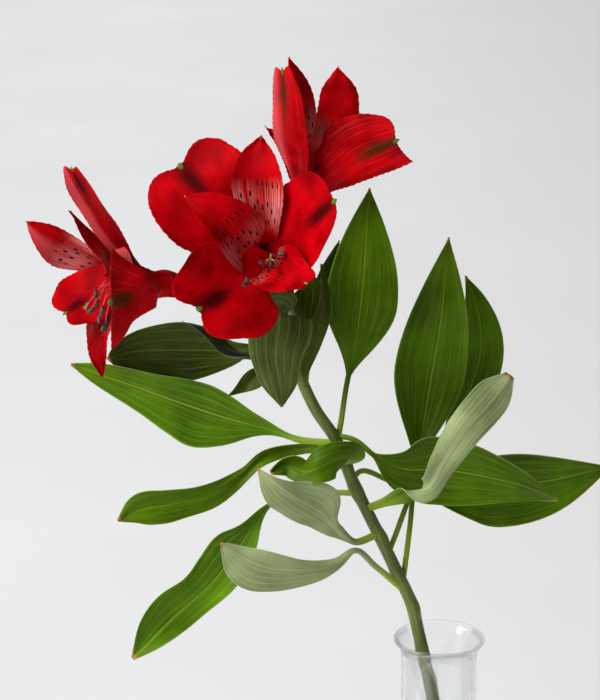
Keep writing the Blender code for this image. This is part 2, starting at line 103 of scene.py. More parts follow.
# Points at even steps along the curve through the given points, knotted at their distances
def smoothPath(points, count):
    points = np.asarray(points, float)
    gaps = np.linalg.norm(np.diff(points[:, :3], axis=0), axis=1)
    knots = np.concatenate([[0], np.cumsum(gaps)]) / gaps.sum()
    return curveThrough(knots, points, np.linspace(0, 1, count))


# Rows of x, y, z and turn: millimetres from the rim's centre made metres, the turn in degrees kept
def fromRim(points):
    rows = np.array([(*row, 0)[:4] for row in points], float)
    rows[:, :3] = rows[:, :3] * mm + rimCentre
    return rows


# 0 below low, 1 above high, and 3t^2 - 2t^3 between
def smoothStep(low, high, x):
    t = np.clip((x - low) / (high - low), 0, 1)
    return t * t * (3 - 2 * t)


# Angles round a full turn at even steps, without the last that meets the first
def roundAngles(count):
    return np.linspace(0, 2 * math.pi, count, endpoint=False)


# Quads that join each point of a grid to its neighbours, the columns closed into a ring if wrapped
def gridFaces(rows, columns, wrap=False):
    i = np.arange(rows - 1)[:, None]
    j = np.arange(columns if wrap else columns - 1)[None]
    k = (j + 1) % columns
    corners = [i * columns + j, i * columns + k, (i + 1) * columns + k, (i + 1) * columns + j]
    return np.stack(np.broadcast_arrays(*corners), -1).reshape(-1, 4)


# Rings of points made a closed skin: quads between them, and triangles from the first and last ring to
# the two pole points that follow them. Its UV is the share around and the share along.
def closedRings(rings, poles, mark=0):
    rows, sides = rings.shape[:2]
    j = np.arange(sides)
    k = (j + 1) % sides
    last = (rows - 1) * sides
    first = np.stack([k, j, np.full(sides, rows * sides)], -1)
    end = np.stack([last + j, last + k, np.full(sides, rows * sides + 1)], -1)
    uv = np.stack(np.broadcast_arrays(j[None] / sides, np.linspace(0, 1, rows)[:, None]), -1)
    return {
        "points": np.concatenate([rings.reshape(-1, 3), poles]),
        "faces": [(gridFaces(rows, sides, wrap=True), mark), (first, mark), (end, mark)],
        "uv": np.concatenate([uv.reshape(-1, 2), [[0.5, 0], [0.5, 1]]]),
    }


# One mesh object from shells of points, faces, UV and material number, riding on the plant's one body
def makePiece(name, shells, materials, node):
    mesh = bpy.data.meshes.new(name)
    starts = np.cumsum([0] + [len(shell["points"]) for shell in shells])
    faces = []
    marks = []
    for start, shell in zip(starts, shells):
        for quads, mark in shell["faces"]:
            faces += (quads + start).tolist()
            marks += [mark] * len(quads)
    points = np.concatenate([shell["points"] for shell in shells])
    mesh.from_pydata(points.tolist(), [], faces)
    uv = np.concatenate([shell["uv"] for shell in shells])
    corners = np.empty(len(mesh.loops), np.int32)
    mesh.loops.foreach_get("vertex_index", corners)
    layer = mesh.uv_layers.new(name="blade")
    layer.data.foreach_set("uv", uv[corners].ravel())
    blush = np.concatenate([shell.get("blush", np.zeros(len(shell["points"]))) for shell in shells])
    mesh.attributes.new("blush", "FLOAT", "POINT").data.foreach_set("value", blush)
    mesh.polygons.foreach_set("material_index", np.array(marks, np.int32))
    mesh.shade_smooth()
    for material in materials:
        mesh.materials.append(material)
    piece = bpy.data.objects.new(name, mesh)
    bpy.context.scene.collection.objects.link(piece)
    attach(piece, "root")
    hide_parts(node)


# A round rod: rings of the given radii about a path, a cap of faces at each end meeting in a point
def rodShell(path, radii, sides, mark=0, swell=None):
    path = np.asarray(path, float)
    forward = unit(np.gradient(path, axis=0))
    aside = np.eye(3)[np.argmin(np.abs(forward).max(axis=0))]
    side = unit(np.cross(forward, aside))
    over = np.cross(forward, side)
    angle = roundAngles(sides)
    radii = np.broadcast_to(np.asarray(radii, float), len(path))[:, None] * np.ones(sides)
    if swell is not None:
        radii = radii + swell(np.linspace(0, 1, len(path))[:, None], angle[None])
    ring = np.cos(angle)[None, :, None] * side[:, None] + np.sin(angle)[None, :, None] * over[:, None]
    rings = path[:, None] + radii[..., None] * ring
    return closedRings(rings, [path[0], path[-1]], mark)


# Half-width as a share of the widest: sin^base of the way to the belly, then cos^tip down to the end
def bladeOutline(along, stalk, belly, base, tip, end):
    share = np.clip((along - stalk) / (1 - stalk), 0, 1)
    swell = np.sin(math.pi / 2 * np.clip(share / belly, 0, 1)) ** base
    narrow = np.cos(math.pi / 2 * np.clip((share - belly) / (1 - belly), 0, 1)) ** tip
    return np.where(share < belly, swell, end + (1 - end) * narrow)


# Half-width along a blade in metres: the outline times one width, or a curve through a list of widths
def halfWidth(width, along, form):
    if isinstance(width, (int, float)):
        outline = bladeOutline(along, *[form[key] for key in ("stalk", "belly", "base", "tip", "end")])
        return width * mm * outline
    knots = np.linspace(0, 1, len(width))
    return np.maximum(curveThrough(knots, np.array(width, float)[:, None], along)[:, 0], 0) * mm


# Shares of a blade's length or half-width, powers, waves a radian, and widths in millimetres
blade = dict(
    tipTaper=0.06, waveFrom=0.35, wavePower=2.2, sidesApart=2.1, buckleAlong=9, buckleAcross=4,
    lobeScale=5.1, lobePower=1.4, bowPower=2.5, tipPower=4, marginTeeth=(150, 241), endTeeth=(41, 67),
    second=0.7, marginPower=12, endPower=40, pointHalf=0.06, pointPower=60, edgeThin=0.6,
    ridgeHalf=0.55, grooveHalf=0.4, grooveDepth=0.4)


# A leaf or petal as a closed shell. The midrib follows the rows; each section across it bends through
# twice the curl and waves at its edges. With r the share from the midrib to the edge, lobe, one number
# for each side, pushes that side of the tip ahead of the midrib, r^1.4 (1 - r), and bow draws its corner
# back, r^2.5. Fray adds small quick waves to the margin, and point a short spike where the midrib ends.
# The two faces lie half the thickness either side, the thickness swelling to an oval stalk at the base
# and a ridge under the midrib.
def bladeShell(rows, facing, form):
    along = np.linspace(0, 1, form["steps"])
    across = np.linspace(-1, 1, form["strips"])
    path = smoothPath(rows, form["steps"])
    midrib = path[:, :3]
    turn = np.radians(path[:, 3])[:, None]
    forward = unit(np.gradient(midrib, axis=0))
    level = unit(facing(midrib) - (facing(midrib) * forward).sum(axis=1, keepdims=True) * forward)
    side = np.cross(forward, level)
    up = level * np.cos(turn) + side * np.sin(turn)
    side = np.cross(forward, up)
    left = halfWidth(form.get("left", form["width"]), along, form)[:, None]
    right = halfWidth(form.get("right", form["width"]), along, form)[:, None]
    half = np.where(across < 0, left, right)
    taper = np.clip((1 - along) / blade["tipTaper"], 0.2, 1)[:, None]
    half = np.maximum(half, form["stalkHalf"] * mm * taper)
    curl = np.interp(along, np.linspace(0, 1, len(form["curl"])), form["curl"])[:, None] + 1e-6
    sideways = half * np.sin(curl * across) / curl
    reach = np.abs(across)
    lift = half * (1 - np.cos(curl * across)) / curl
    height, count, phase = form["wave"]
    ripple = np.sin(2 * math.pi * count * along[:, None] + phase + blade["sidesApart"] * (across > 0))
    swelling = smoothStep(0, blade["waveFrom"], along)[:, None]
    lift += height * mm * ripple * reach**blade["wavePower"] * swelling
    buckle = np.sin(blade["buckleAlong"] * along[:, None] + blade["buckleAcross"] * across + phase)
    lift += form["buckle"] * mm * buckle * swelling * (1 - reach**2)
    lobe = np.where(across < 0, *form["lobe"])
    bow = np.where(across < 0, *form["bow"])
    forth = lobe * blade["lobeScale"] * reach**blade["lobePower"] * (1 - reach)
    notch = forth - bow * reach**blade["bowPower"]
    widest = (left.max() + right.max()) / 2
    ahead = widest * along[:, None] ** blade["tipPower"] * notch
    slow, quick = blade["marginTeeth"]
    teeth = np.sin(slow * along + phase) + blade["second"] * np.sin(quick * along + 2 * phase)
    sideways = sideways + form["fray"] * mm * teeth[:, None] * np.sign(across) * reach**blade["marginPower"]
    spike = np.exp(-(across / blade["pointHalf"]) ** 2) * along[:, None] ** blade["pointPower"]
    ahead = ahead + form["point"] * mm * spike
    slow, quick = blade["endTeeth"]
    endTeeth = np.sin(slow * across + phase) + blade["second"] * np.sin(quick * across)
    ahead = ahead + form["fray"] * mm * endTeeth * along[:, None] ** blade["endPower"]
    grid = (midrib[:, None] + sideways[..., None] * side[:, None] + lift[..., None] * up[:, None]
            + ahead[..., None] * forward[:, None])
    normal = unit(np.cross(np.gradient(grid, axis=1), np.gradient(grid, axis=0)))
    distance = across * half / mm
    body = form["thickness"] * (1 - blade["edgeThin"] * reach**4)
    stalk = form["stalkRound"] * np.sqrt(1 - 0.96 * across**2)
    fade = 1 - smoothStep(0, form["stalkFade"], along)[:, None]
    thick = body + (stalk - body) * fade * (stalk > body)
    ridge = form["ridge"] * np.exp(-(distance / blade["ridgeHalf"]) ** 2) * (1 - along[:, None])
    groove = np.exp(-(distance / blade["grooveHalf"]) ** 2) * (1 - fade)
    groove = blade["grooveDepth"] * form["ridge"] * groove
    upper = grid + normal * (thick / 2 - groove)[..., None] * mm
    lower = grid - normal * (thick / 2 + ridge)[..., None] * mm
    rowCount, columns = grid.shape[:2]
    number = np.arange(rowCount * columns).reshape(rowCount, columns)
    down = number + number.size
    top = gridFaces(rowCount, columns)
    bottom = top[:, ::-1] + number.size
    rims = [
        (number[:-1, 0], number[1:, 0], down[1:, 0], down[:-1, 0]),
        (number[1:, -1], number[:-1, -1], down[:-1, -1], down[1:, -1]),
        (number[0, 1:], number[0, :-1], down[0, :-1], down[0, 1:]),
        (number[-1, :-1], number[-1, 1:], down[-1, 1:], down[-1, :-1]),
    ]
    rim = np.concatenate([np.stack(rim, -1) for rim in rims])
    uv = np.stack(np.broadcast_arrays((across[None] + 1) / 2, along[:, None]), -1).reshape(-1, 2)
    edge, start, soft = form["blush"]
    blush = (smoothStep(start, start + soft, across * edge)[None] * np.ones((rowCount, 1))).ravel()
    return {
        "points": np.concatenate([upper.reshape(-1, 3), lower.reshape(-1, 3)]),
        "faces": [(top, 0), (bottom, 1), (rim, 1)],
        "uv": np.concatenate([uv, uv]),
        "blush": np.concatenate([blush, blush]),
    }


# What a blade's skin is drawn by, as sockets: its UV, the shares across and along it, how far out from
# the midrib, and the place on the object
def bladePlaces(add):
    uv = add("UVMap", uv_map="blade")
    across, along = add("SeparateXYZ", {"Vector": uv}).outputs[:2]
    middle = add("Math", {0: across, 1: 0.5}, operation="SUBTRACT")
    reach = add("Math", {0: middle}, operation="ABSOLUTE")
    return uv, across, along, reach, add("TexCoord").outputs["Object"]


# Plant tissue: waxy upper skin of a leaf, grown with parallel veins. The eye sees a deep green with paler
# thin lines, a pale midrib, a satin gloss and a dry tan tip.
def leafMaterial(name, **changes):
    look = {**plainLeafLook, **changes}
    made, add, shader = newMaterial(name, {
        "IOR": 1.45, "Subsurface Weight": look["glow"], "Subsurface Radius": (0.6, 1.0, 0.3),
        "Subsurface Scale": 0.8 * mm, "Sheen Weight": look["sheen"], "Sheen Roughness": 0.4,
        "Specular IOR Level": look["shine"]})
    uv, across, along, reach, spot = bladePlaces(add)
    wander = add("TexNoise", {"Vector": spot, "Scale": 90.0, "Detail": 2.0})  # 11 mm patches
    shift = add("Math", {0: wander, 1: 0.035, 2: across}, operation="MULTIPLY_ADD")
    wave = add("Math", {0: shift, 1: 2 * math.pi * look["veins"]}, operation="MULTIPLY")
    sine = add("Math", {0: wave}, operation="SINE")
    vein = add("MapRange", {"Value": sine, "From Min": 0.72, "From Max": 1.0})
    veinShare = add("Math", {0: vein, 1: look["veinShow"]}, operation="MULTIPLY")
    fibres = add("Mapping", {"Vector": uv, "Scale": (70, 5, 1)})
    fibre = add("TexNoise", {"Vector": fibres, "Scale": 1.0, "Detail": 3.0})
    streak = add("MapRange", {"Value": fibre, "From Min": 0.4, "From Max": 0.7, "To Max": 0.3})
    patch = add("TexNoise", {"Vector": spot, "Scale": 55.0, "Detail": 3.0})  # 18 mm patches
    patches = add("MapRange", {"Value": patch, "From Min": 0.35, "From Max": 0.68})
    midrib = add("MapRange", {"Value": reach, "From Min": look["midrib"], "From Max": 0.004,
                              "To Max": look["ribShow"]})
    edge = add("MapRange", {"Value": reach, "From Min": 0.475, "From Max": 0.5, "To Max": 0.5})
    stalk = add("MapRange", {"Value": along, "From Min": look["stalk"], "From Max": 0.06},
                interpolation_type="SMOOTHSTEP")
    dry = add("MapRange", {"Value": along, "From Min": 0.98, "From Max": 0.992})
    skin = colour(look["dark"])
    for share, over in ((patches, look["light"]), (streak, look["vein"]), (veinShare, look["vein"]),
                        (midrib, look["rib"]), (edge, look["vein"]), (stalk, look["stalkColour"]),
                        (dry, "#a9763f")):
        skin = add("Mix", {0: share, 6: skin, 7: colour(over)}, data_type="RGBA")
    rough = add("MapRange", {"Value": fibre, "To Min": look["rough"] - 0.08, "To Max": look["rough"] + 0.1})
    relief = add("Math", {0: vein, 1: 0.6, 2: fibre}, operation="MULTIPLY_ADD")
    bump = add("Bump", {"Height": relief, "Strength": 0.35, "Distance": 0.12 * mm})
    feed(shader, {"Base Color": skin, "Roughness": rough, "Normal": bump})
    return made


# Plant tissue: petal skin of tiny domed cells, velvety to the eye and almost without gloss, red with fine
# fibres along it, a dark claw whose colour spreads up the blade as painted shade of the flower's throat, a
# dark smudge below the green tip, and where asked dashes on a pale band.
def petalMaterial(name, **changes):
    look = {**plainPetalLook, **changes}
    made, add, shader = newMaterial(name, {
        "IOR": 1.4, "Subsurface Weight": 0.1, "Subsurface Radius": (1.0, 0.08, 0.06),
        "Subsurface Scale": 1.0 * mm, "Specular IOR Level": 0.03})
    uv, across, along, reach, spot = bladePlaces(add)
    fibres = add("Mapping", {"Vector": uv, "Scale": (46, 3.2, 1)})
    fibre = add("TexNoise", {"Vector": fibres, "Scale": 1.0, "Detail": 4.0, "Distortion": 0.25})
    line = add("MapRange", {"Value": fibre, "From Min": 0.5, "From Max": 0.74, "To Max": look["fibreShow"]})
    patch = add("TexNoise", {"Vector": spot, "Scale": 120.0, "Detail": 2.0})  # 8 mm patches
    patches = add("MapRange", {"Value": patch, "From Min": 0.35, "From Max": 0.65})
    # the pale band lies across the blade at its share of the length, broken up by the fibres
    away = add("Math", {0: along, 1: look["bandAt"]}, operation="SUBTRACT")
    near = add("Math", {0: away}, operation="ABSOLUTE")
    band = add("MapRange", {"Value": near, "From Min": 0.15, "From Max": 0.02, "To Max": look["bandShow"]},
               interpolation_type="SMOOTHSTEP")
    gaps = add("MapRange", {"Value": fibre, "From Min": 0.38, "From Max": 0.56})
    sides = add("MapRange", {"Value": reach, "From Min": 0.05, "From Max": 0.32, "To Min": 0.25})
    for limit in (gaps, sides):
        band = add("Math", {0: band, 1: limit}, operation="MULTIPLY")
    # painted shade: the claw's dark colour reaches up the blade to the given end share, standing in for the
    # shade deep in the flower's throat
    throat = add("MapRange", {"Value": along, "From Min": look["throatEnd"],
                              "From Max": look["throatEnd"] - 0.22}, interpolation_type="SMOOTHSTEP")
    blush = add("Attribute", attribute_name="blush")
    blushShare = add("Math", {0: blush.outputs["Fac"], 1: 0.4}, operation="MULTIPLY")
    layers = [(patches, look["bright"]), (line, look["fibre"]), (band, "#f2a9a4"),
              (throat, look["throat"]), (blushShare, "#ec6a70")]
    if look["dashes"]:
        cells = add("Mapping", {"Vector": uv, "Scale": (9.5, 11, 1)})
        cell = add("TexVoronoi", {"Vector": cells, "Scale": 1.0, "Randomness": 0.7},
                   voronoi_dimensions="2D")
        dash = add("MapRange", {"Value": cell.outputs["Distance"], "From Min": 0.2, "From Max": 0.14})
        for place, none, full in ((reach, 0.42, 0.36), (along, 0.4, 0.46), (along, 0.84, 0.76)):
            limit = add("MapRange", {"Value": place, "From Min": none, "From Max": full})
            dash = add("Math", {0: dash, 1: limit}, operation="MULTIPLY")
        layers.append((dash, "#200206"))
    # two ovals about the tip, measured in the blade's own shares: a long dark smudge and the green point
    smudgePlace = add("Mapping", {"Vector": uv, "Location": (-0.5 * 7, -0.9 * look["smudgeShort"], 0),
                                  "Scale": (7, look["smudgeShort"], 1)})
    smudgeAway = add("VectorMath", {0: smudgePlace}, operation="LENGTH")
    ragged = add("Math", {0: fibre, 1: 0.9, 2: smudgeAway.outputs["Value"]}, operation="MULTIPLY_ADD")
    smudge = add("MapRange", {"Value": ragged, "From Min": 1.4, "From Max": 0.6,
                              "To Max": look["smudgeShow"]}, interpolation_type="SMOOTHSTEP")
    tipPlace = add("Mapping", {"Vector": uv, "Location": (-0.5 * 11, -16, 0), "Scale": (11, 16, 1)})
    tipAway = add("VectorMath", {0: tipPlace}, operation="LENGTH")
    tipSpot = add("MapRange", {"Value": tipAway.outputs["Value"], "From Min": look["tipSize"],
                               "From Max": look["tipSize"] * 0.45}, interpolation_type="SMOOTHSTEP")
    skin = colour(look["deep"])
    for share, over in (*layers, (smudge, look["smudge"]), (tipSpot, look["tip"])):
        skin = add("Mix", {0: share, 6: skin, 7: colour(over)}, data_type="RGBA")
    rough = add("MapRange", {"Value": fibre, "To Min": 0.4, "To Max": 0.66})
    bump = add("Bump", {"Height": fibre, "Strength": 0.5, "Distance": 0.15 * mm})
    feed(shader, {"Base Color": skin, "Roughness": rough, "Normal": bump})
    return made


# Plant tissue: smooth skin of a stalk, green with fine ridges along it and paler flecks
def stalkMaterial(name, dark, light, line, scar, lengthScale):
    made, add, shader = newMaterial(name, {
        "IOR": 1.45, "Subsurface Weight": 0.15, "Subsurface Radius": (0.6, 1.0, 0.3),
        "Subsurface Scale": 0.8 * mm})
    uv = add("UVMap", uv_map="blade")
    spot = add("TexCoord").outputs["Object"]
    lines = add("Mapping", {"Vector": uv, "Scale": (14, lengthScale, 1)})
    ridge = add("TexNoise", {"Vector": lines, "Scale": 1.0, "Detail": 4.0})
    ridgeShare = add("MapRange", {"Value": ridge, "From Min": 0.45, "From Max": 0.72, "To Max": 0.55})
    patch = add("TexNoise", {"Vector": spot, "Scale": 140.0, "Detail": 3.0})  # 7 mm patches
    patches = add("MapRange", {"Value": patch, "From Min": 0.38, "From Max": 0.66})
    mask = add("Attribute", attribute_name="blush").outputs["Fac"]
    skin = colour(dark)
    for share, over in ((patches, light), (ridgeShare, line), (mask, scar)):
        skin = add("Mix", {0: share, 6: skin, 7: colour(over)}, data_type="RGBA")
    rough = add("MapRange", {"Value": ridge, "To Min": 0.3, "To Max": 0.55})
    bump = add("Bump", {"Height": ridge, "Strength": 0.5, "Distance": 0.15 * mm})
    feed(shader, {"Base Color": skin, "Roughness": rough, "Normal": bump})
    return made


# Soda-lime glass, mould-blown: clear with a faint cool tint, its skin not quite even so highlights waver
def glassMaterial():
    made, add, shader = newMaterial("clearGlassBlown", {
        "Transmission Weight": 1.0, "IOR": 1.45, "Roughness": 0.01, "Base Color": colour("#fcfefd")})
    lip = add("Attribute", attribute_name="blush")
    cover = add("MapRange", {"Value": lip.outputs["Fac"], "To Min": 0.8, "To Max": 0.3})
    spot = add("TexCoord").outputs["Object"]
    swirl = add("TexNoise", {"Vector": spot, "Scale": 45.0, "Detail": 1.0})  # 22 mm waves
    bump = add("Bump", {"Height": swirl, "Strength": 0.12, "Distance": 1 * mm})
    feed(shader, {"Alpha": cover, "Normal": bump})
    return made


# Tap water, still: clear with the faintest tint, its face flat but for a slight swell
def waterMaterial():
    made, add, shader = newMaterial("stillWater", {
        "Transmission Weight": 1.0, "IOR": 1.333, "Roughness": 0.0, "Base Color": colour("#f2f9f8")})
    spot = add("TexCoord").outputs["Object"]
    swell = add("TexNoise", {"Vector": spot, "Scale": 60.0, "Detail": 0.0})  # 17 mm swell
    bump = add("Bump", {"Height": swell, "Strength": 0.05, "Distance": 0.5 * mm})
    feed(shader, {"Normal": bump})
    return made


plainLeafLook = dict(
    dark="#2c4400", light="#4c7002", vein="#86a41c", rib="#a4b832", stalkColour="#7f9a2c", veins=7,
    veinShow=0.14, ribShow=0.45, midrib=0.012, stalk=0.26, rough=0.36, glow=0.12, sheen=0.0, shine=0.1)
leafTop = leafMaterial("leafUpperSkin")
# a brighter, yellower copy of the upper skin for the two long leaves at the left: partly painted light,
# standing in for their facing the window light, and partly their own yellower midrib
leafBright = leafMaterial(
    "leafUpperSkinBrighter", dark="#335804", light="#5a860a", vein="#9cba20", rib="#c2ca44",
    stalkColour="#8ea63a", veinShow=0.2, ribShow=0.6, midrib=0.014, rough=0.38, glow=0.15, shine=0.12)
leafUnder = leafMaterial(
    "leafUnderSkin", dark="#66783f", light="#a4b27c", vein="#c8cfa6", rib="#c8d0a4",
    stalkColour="#8ea63a", veins=9, veinShow=0.3, ribShow=0.6, midrib=0.016, rough=0.55, sheen=0.05)
bractTop = leafMaterial(
    "bractUpperSkin", dark="#1f2c00", light="#3c5006", vein="#7c8e24", rib="#8a9c34",
    stalkColour="#5a7018", veins=6, veinShow=0.15, ribShow=0.3, stalk=0.16, rough=0.32, glow=0.08,
    shine=0.14)
bractUnder = leafMaterial(
    "bractUnderSkin", dark="#2c3a0a", light="#4a5a20", vein="#8a9858", rib="#98a460",
    stalkColour="#5a7018", veins=6, veinShow=0.25, ribShow=0.4, stalk=0.16, rough=0.5, glow=0.08)
bractDark = leafMaterial(
    "bractEdgeSkin", dark="#0d1602", light="#1c2806", vein="#59664a", rib="#3c4a2c",
    stalkColour="#3a4e10", veins=5, veinShow=0.12, ribShow=0.3, stalk=0.16, rough=0.3, glow=0.04,
    shine=0.3)
# the throat colour and its end share are the claw's own dark colour, widened into painted shade of the
# flower's throat
plainPetalLook = dict(
    deep="#8a0005", bright="#c0000b", fibre="#500003", fibreShow=0.4, throat="#2c0302", throatEnd=0.56,
    bandAt=0.6, bandShow=0.0, dashes=False, smudge="#260206", smudgeShort=5.5, smudgeShow=0.0,
    tip="#56782a", tipSize=0.4)
petalOuter = petalMaterial("petalOuterSkin", smudgeShow=0.9)
petalInner = petalMaterial("petalInnerSkin", dashes=True, bandShow=0.3, throat="#4c1e0c", tip="#b08a58")
petalStriped = petalMaterial(
    "petalInnerSkinStriped", dashes=True, bandAt=0.67, bandShow=0.6, throat="#4a0808", tip="#b08a58")
petalBack = petalMaterial(
    "petalBackSkin", deep="#8a0006", bright="#c8020a", bandShow=0.2, tip="#b08a58", throatEnd=0.2)
petalOuterBack = petalMaterial(
    "petalOuterBackSkin", deep="#880006", bright="#c2020a", fibre="#d8525c", fibreShow=0.2,
    smudge="#33280f", smudgeShort=3.5, smudgeShow=0.85, tipSize=0.5, throatEnd=0.2)
stemGreen = stalkMaterial("stemSkin", "#48591c", "#60712e", "#7f8d48", "#c0a068", 30)
stalkGreen = stalkMaterial("flowerStalkSkin", "#5f7a2c", "#7b8f45", "#8a6a4a", "#8a4a3a", 6)
ovaryGreen = stalkMaterial("ovarySkin", "#4a6420", "#6c7f36", "#7a3a2c", "#7a3a2c", 3)
filamentRed = stalkMaterial("filamentSkin", "#b80a1e", "#e02a38", "#ff6a6a", "#e02a38", 6)
antherGrey = stalkMaterial("antherPollen", "#1a1412", "#3c3230", "#8a7f70", "#3c3230", 3)
stigmaGreen = stalkMaterial("stigmaSkin", "#6a7a2c", "#9aa84a", "#b8b060", "#9aa84a", 3)
glass = glassMaterial()
water = waterMaterial()
print("materials made:", len(bpy.data.materials))


vase = dict(
    bodyRadius=33, neckRadius=11.5, lipRadius=14.6, wall=1.5, floor=5, corner=9, shoulderStart=48,
    shoulderEnd=90, flare=6, height=rimCentre[2] / mm, lipDrop=0.4, lipMask=(-1.2, -0.5), sides=144,
    foot=[(0, 0.8), (12, 0.64), (18, 0.28), (21, 0.05)])


# Outer radius at a height: straight, a half cosine down the shoulder, the neck, then a squared flare
def vaseRadius(height):
    v = vase
    share = np.clip((height - v["shoulderStart"]) / (v["shoulderEnd"] - v["shoulderStart"]), 0, 1)
    shoulder = v["neckRadius"] + (v["bodyRadius"] - v["neckRadius"]) * (1 + np.cos(math.pi * share)) / 2
    flare = np.clip((height - v["height"] + v["flare"]) / v["flare"], 0, 1)
    return shoulder + (v["lipRadius"] - v["neckRadius"]) * flare**2


# Radius and height up the wall, inset from its outer face: a quarter circle, then the vase's radius
def wallProfile(inset, floor, top):
    corner = vase["corner"] - inset
    angle = np.linspace(0, math.pi / 2, 14)
    foot = vase["bodyRadius"] - inset
    bend = np.stack([foot - corner + corner * np.sin(angle), floor + corner * (1 - np.cos(angle))], -1)
    heights = np.linspace(floor + corner, top, 90)[1:]
    return np.concatenate([bend, np.stack([vaseRadius(heights) - inset, heights], -1)])


# The profile turned about the vase's axis: x = r cos, y = r sin, its two ends on the axis
def turnedShell(profile, sides):
    profile = np.asarray(profile, float)
    angle = roundAngles(sides)
    ring = np.stack([np.cos(angle), np.sin(angle), np.zeros(sides)], -1)
    radius, height = profile[1:-1].T[:, :, None, None]
    poles = [[0, 0, profile[0, 1]], [0, 0, profile[-1, 1]]]
    shell = closedRings(radius * ring + height * np.array([0, 0, 1]), poles)
    shell["points"] = shell["points"] * mm + [*rimCentre[:2], 0]
    return shell


# The foot's hollow, up the outer wall, half a circle over the lip, and down the inner wall to the floor
def makeVase():
    lipHeight = vase["height"] - vase["lipDrop"]
    outer = wallProfile(0, 0, lipHeight)
    inner = wallProfile(vase["wall"], vase["floor"], lipHeight)[::-1]
    lip = np.linspace(0, math.pi, 9)[1:-1]
    half = vase["wall"] / 2
    centre = vaseRadius(np.array(lipHeight)) - half
    rounding = np.stack([centre + half * np.cos(lip), lipHeight + half * np.sin(lip)], -1)
    profile = np.concatenate([vase["foot"], outer, rounding, inner, [[0, vase["floor"]]]])
    shell = turnedShell(profile, vase["sides"])
    shell["blush"] = smoothStep(*vase["lipMask"], (shell["points"][:, 2] - rimCentre[2]) / mm)
    makePiece("vaseGlass", [shell], [glass], "vase")


pool = dict(top=61, gap=0.04, meniscus=0.9, meniscusReach=1.3, sides=96)


# The inner wall less a gap, and a face that climbs the glass by the meniscus times exp(-distance / reach)
def makeWater():
    inset = vase["wall"] + pool["gap"]
    bottom = vase["floor"] + pool["gap"]
    wall = wallProfile(inset, bottom, pool["top"] + pool["meniscus"])
    edge = wall[-1, 0]
    radius = np.linspace(edge, 0, 28)[1:-1]
    top = pool["top"] + pool["meniscus"] * np.exp(-(edge - radius) / pool["meniscusReach"])
    profile = np.concatenate([[[0, bottom]], wall, np.stack([radius, top], -1), [[0, pool["top"]]]])
    makePiece("vaseWater", [turnedShell(profile, pool["sides"])], [water], "water")


makeVase()
makeWater()
print("vase and water made")


stem = dict(
    radius=2.2, topRadius=1.7, neckGap=1.8, lean=0.2, lift=0.4, footGap=0.3, ridges=7, ridge=0.05, sides=36,
    rise=[(-9, 0, 12), (-13, 0, 21), (-20, 0, 36), (-27, 0, 51), (-32, 0, 64), (-38, 1, 73), (-43, 3, 85),
          (-44, 4, 91)],
    # swellings: share of the length, angle about it in degrees, height, length and breadth
    nodes=[(0.47, 200, 0.35, 0.012, 1.2), (0.52, 20, 0.4, 0.01, 1.0), (0.585, 190, 0.4, 0.012, 1.2),
           (0.64, 30, 0.45, 0.012, 1.2), (0.70, 210, 0.45, 0.012, 1.2), (0.78, 0, 0.5, 0.014, 3.0),
           (0.83, 180, 0.5, 0.014, 3.0)],
    scars=[(0.463, 200, 0.006, 0.8), (0.512, 20, 0.005, 0.7), (0.574, 190, 0.005, 0.9),
           (0.60, 330, 0.004, 0.6)],
)


# The stem's centre line: straight from the vase's floor past the rim, then through the rise's points
def stemCentre():
    atRim = -(vase["neckRadius"] - vase["wall"] - stem["radius"] - stem["neckGap"])
    drop = vase["height"] - vase["floor"] - stem["footGap"]
    foot = rimCentre + np.array([atRim + stem["lean"] * drop, 0, -drop + stem["lift"]]) * mm
    rim = rimCentre + np.array([atRim, 0, 0]) * mm
    return np.array([foot, (foot + rim) / 2, rim, *fromRim(stem["rise"])[:, :3]])


stemLine = smoothPath(stemCentre(), 200)


# The centre line's point at a height above the rim, in millimetres, and the stem's even taper there
def stemAt(height):
    level = rimCentre[2] + height * mm
    point = np.array([np.interp(level, stemLine[:, 2], stemLine[:, axis]) for axis in range(3)])
    share = (level - stemLine[0, 2]) / (stemLine[-1, 2] - stemLine[0, 2])
    return point, (stem["radius"] + (stem["topRadius"] - stem["radius"]) * share) * mm


# A small hill for each given place on the stem, height * exp(-(distance / size)^2) along and around it
def hills(along, angle, places):
    total = np.zeros(np.broadcast_shapes(along.shape, angle.shape))
    for at, degrees, height, length, breadth in places:
        apart = np.abs((angle - math.radians(degrees) + math.pi) % (2 * math.pi) - math.pi)
        total = total + height * np.exp(-((along - at) / length) ** 2 - (apart / breadth) ** 2)
    return total


# The rod about the centre line, its radius plus the hills and fine ridges, with its leaf scars as a mask
def makeStem():
    share = np.linspace(0, 1, len(stemLine))
    taper = (stem["radius"] + (stem["topRadius"] - stem["radius"]) * share) * mm

    def swell(along, angle):
        return (hills(along, angle, stem["nodes"]) + stem["ridge"] * np.cos(stem["ridges"] * angle)) * mm

    shell = rodShell(stemLine, taper, stem["sides"], swell=swell)
    scars = [(at, degrees, 1, length, breadth) for at, degrees, length, breadth in stem["scars"]]
    mask = np.clip(hills(share[:, None], roundAngles(stem["sides"])[None], scars) * 1.4, 0, 1)
    shell["blush"] = np.concatenate([mask.ravel(), [1, 0]])
    makePiece("stemStalk", [shell], [stemGreen], "stem")


makeStem()
print("stem made")


plainLeaf = dict(
    steps=72, strips=33, width=1, stalk=0.2, stalkHalf=0.8, belly=0.45, base=1.6, tip=1, end=0,
    lobe=(0, 0), bow=(0, 0), fray=0.0, point=0.0, curl=[0.35], buckle=0.3, thickness=0.34,
    stalkRound=1.5, stalkFade=0.22, ridge=0.35, turn=0, blush=(1, 2, 0.1), face=(0, -1, 0),
    top=leafTop, under=leafUnder, slot="leaf")

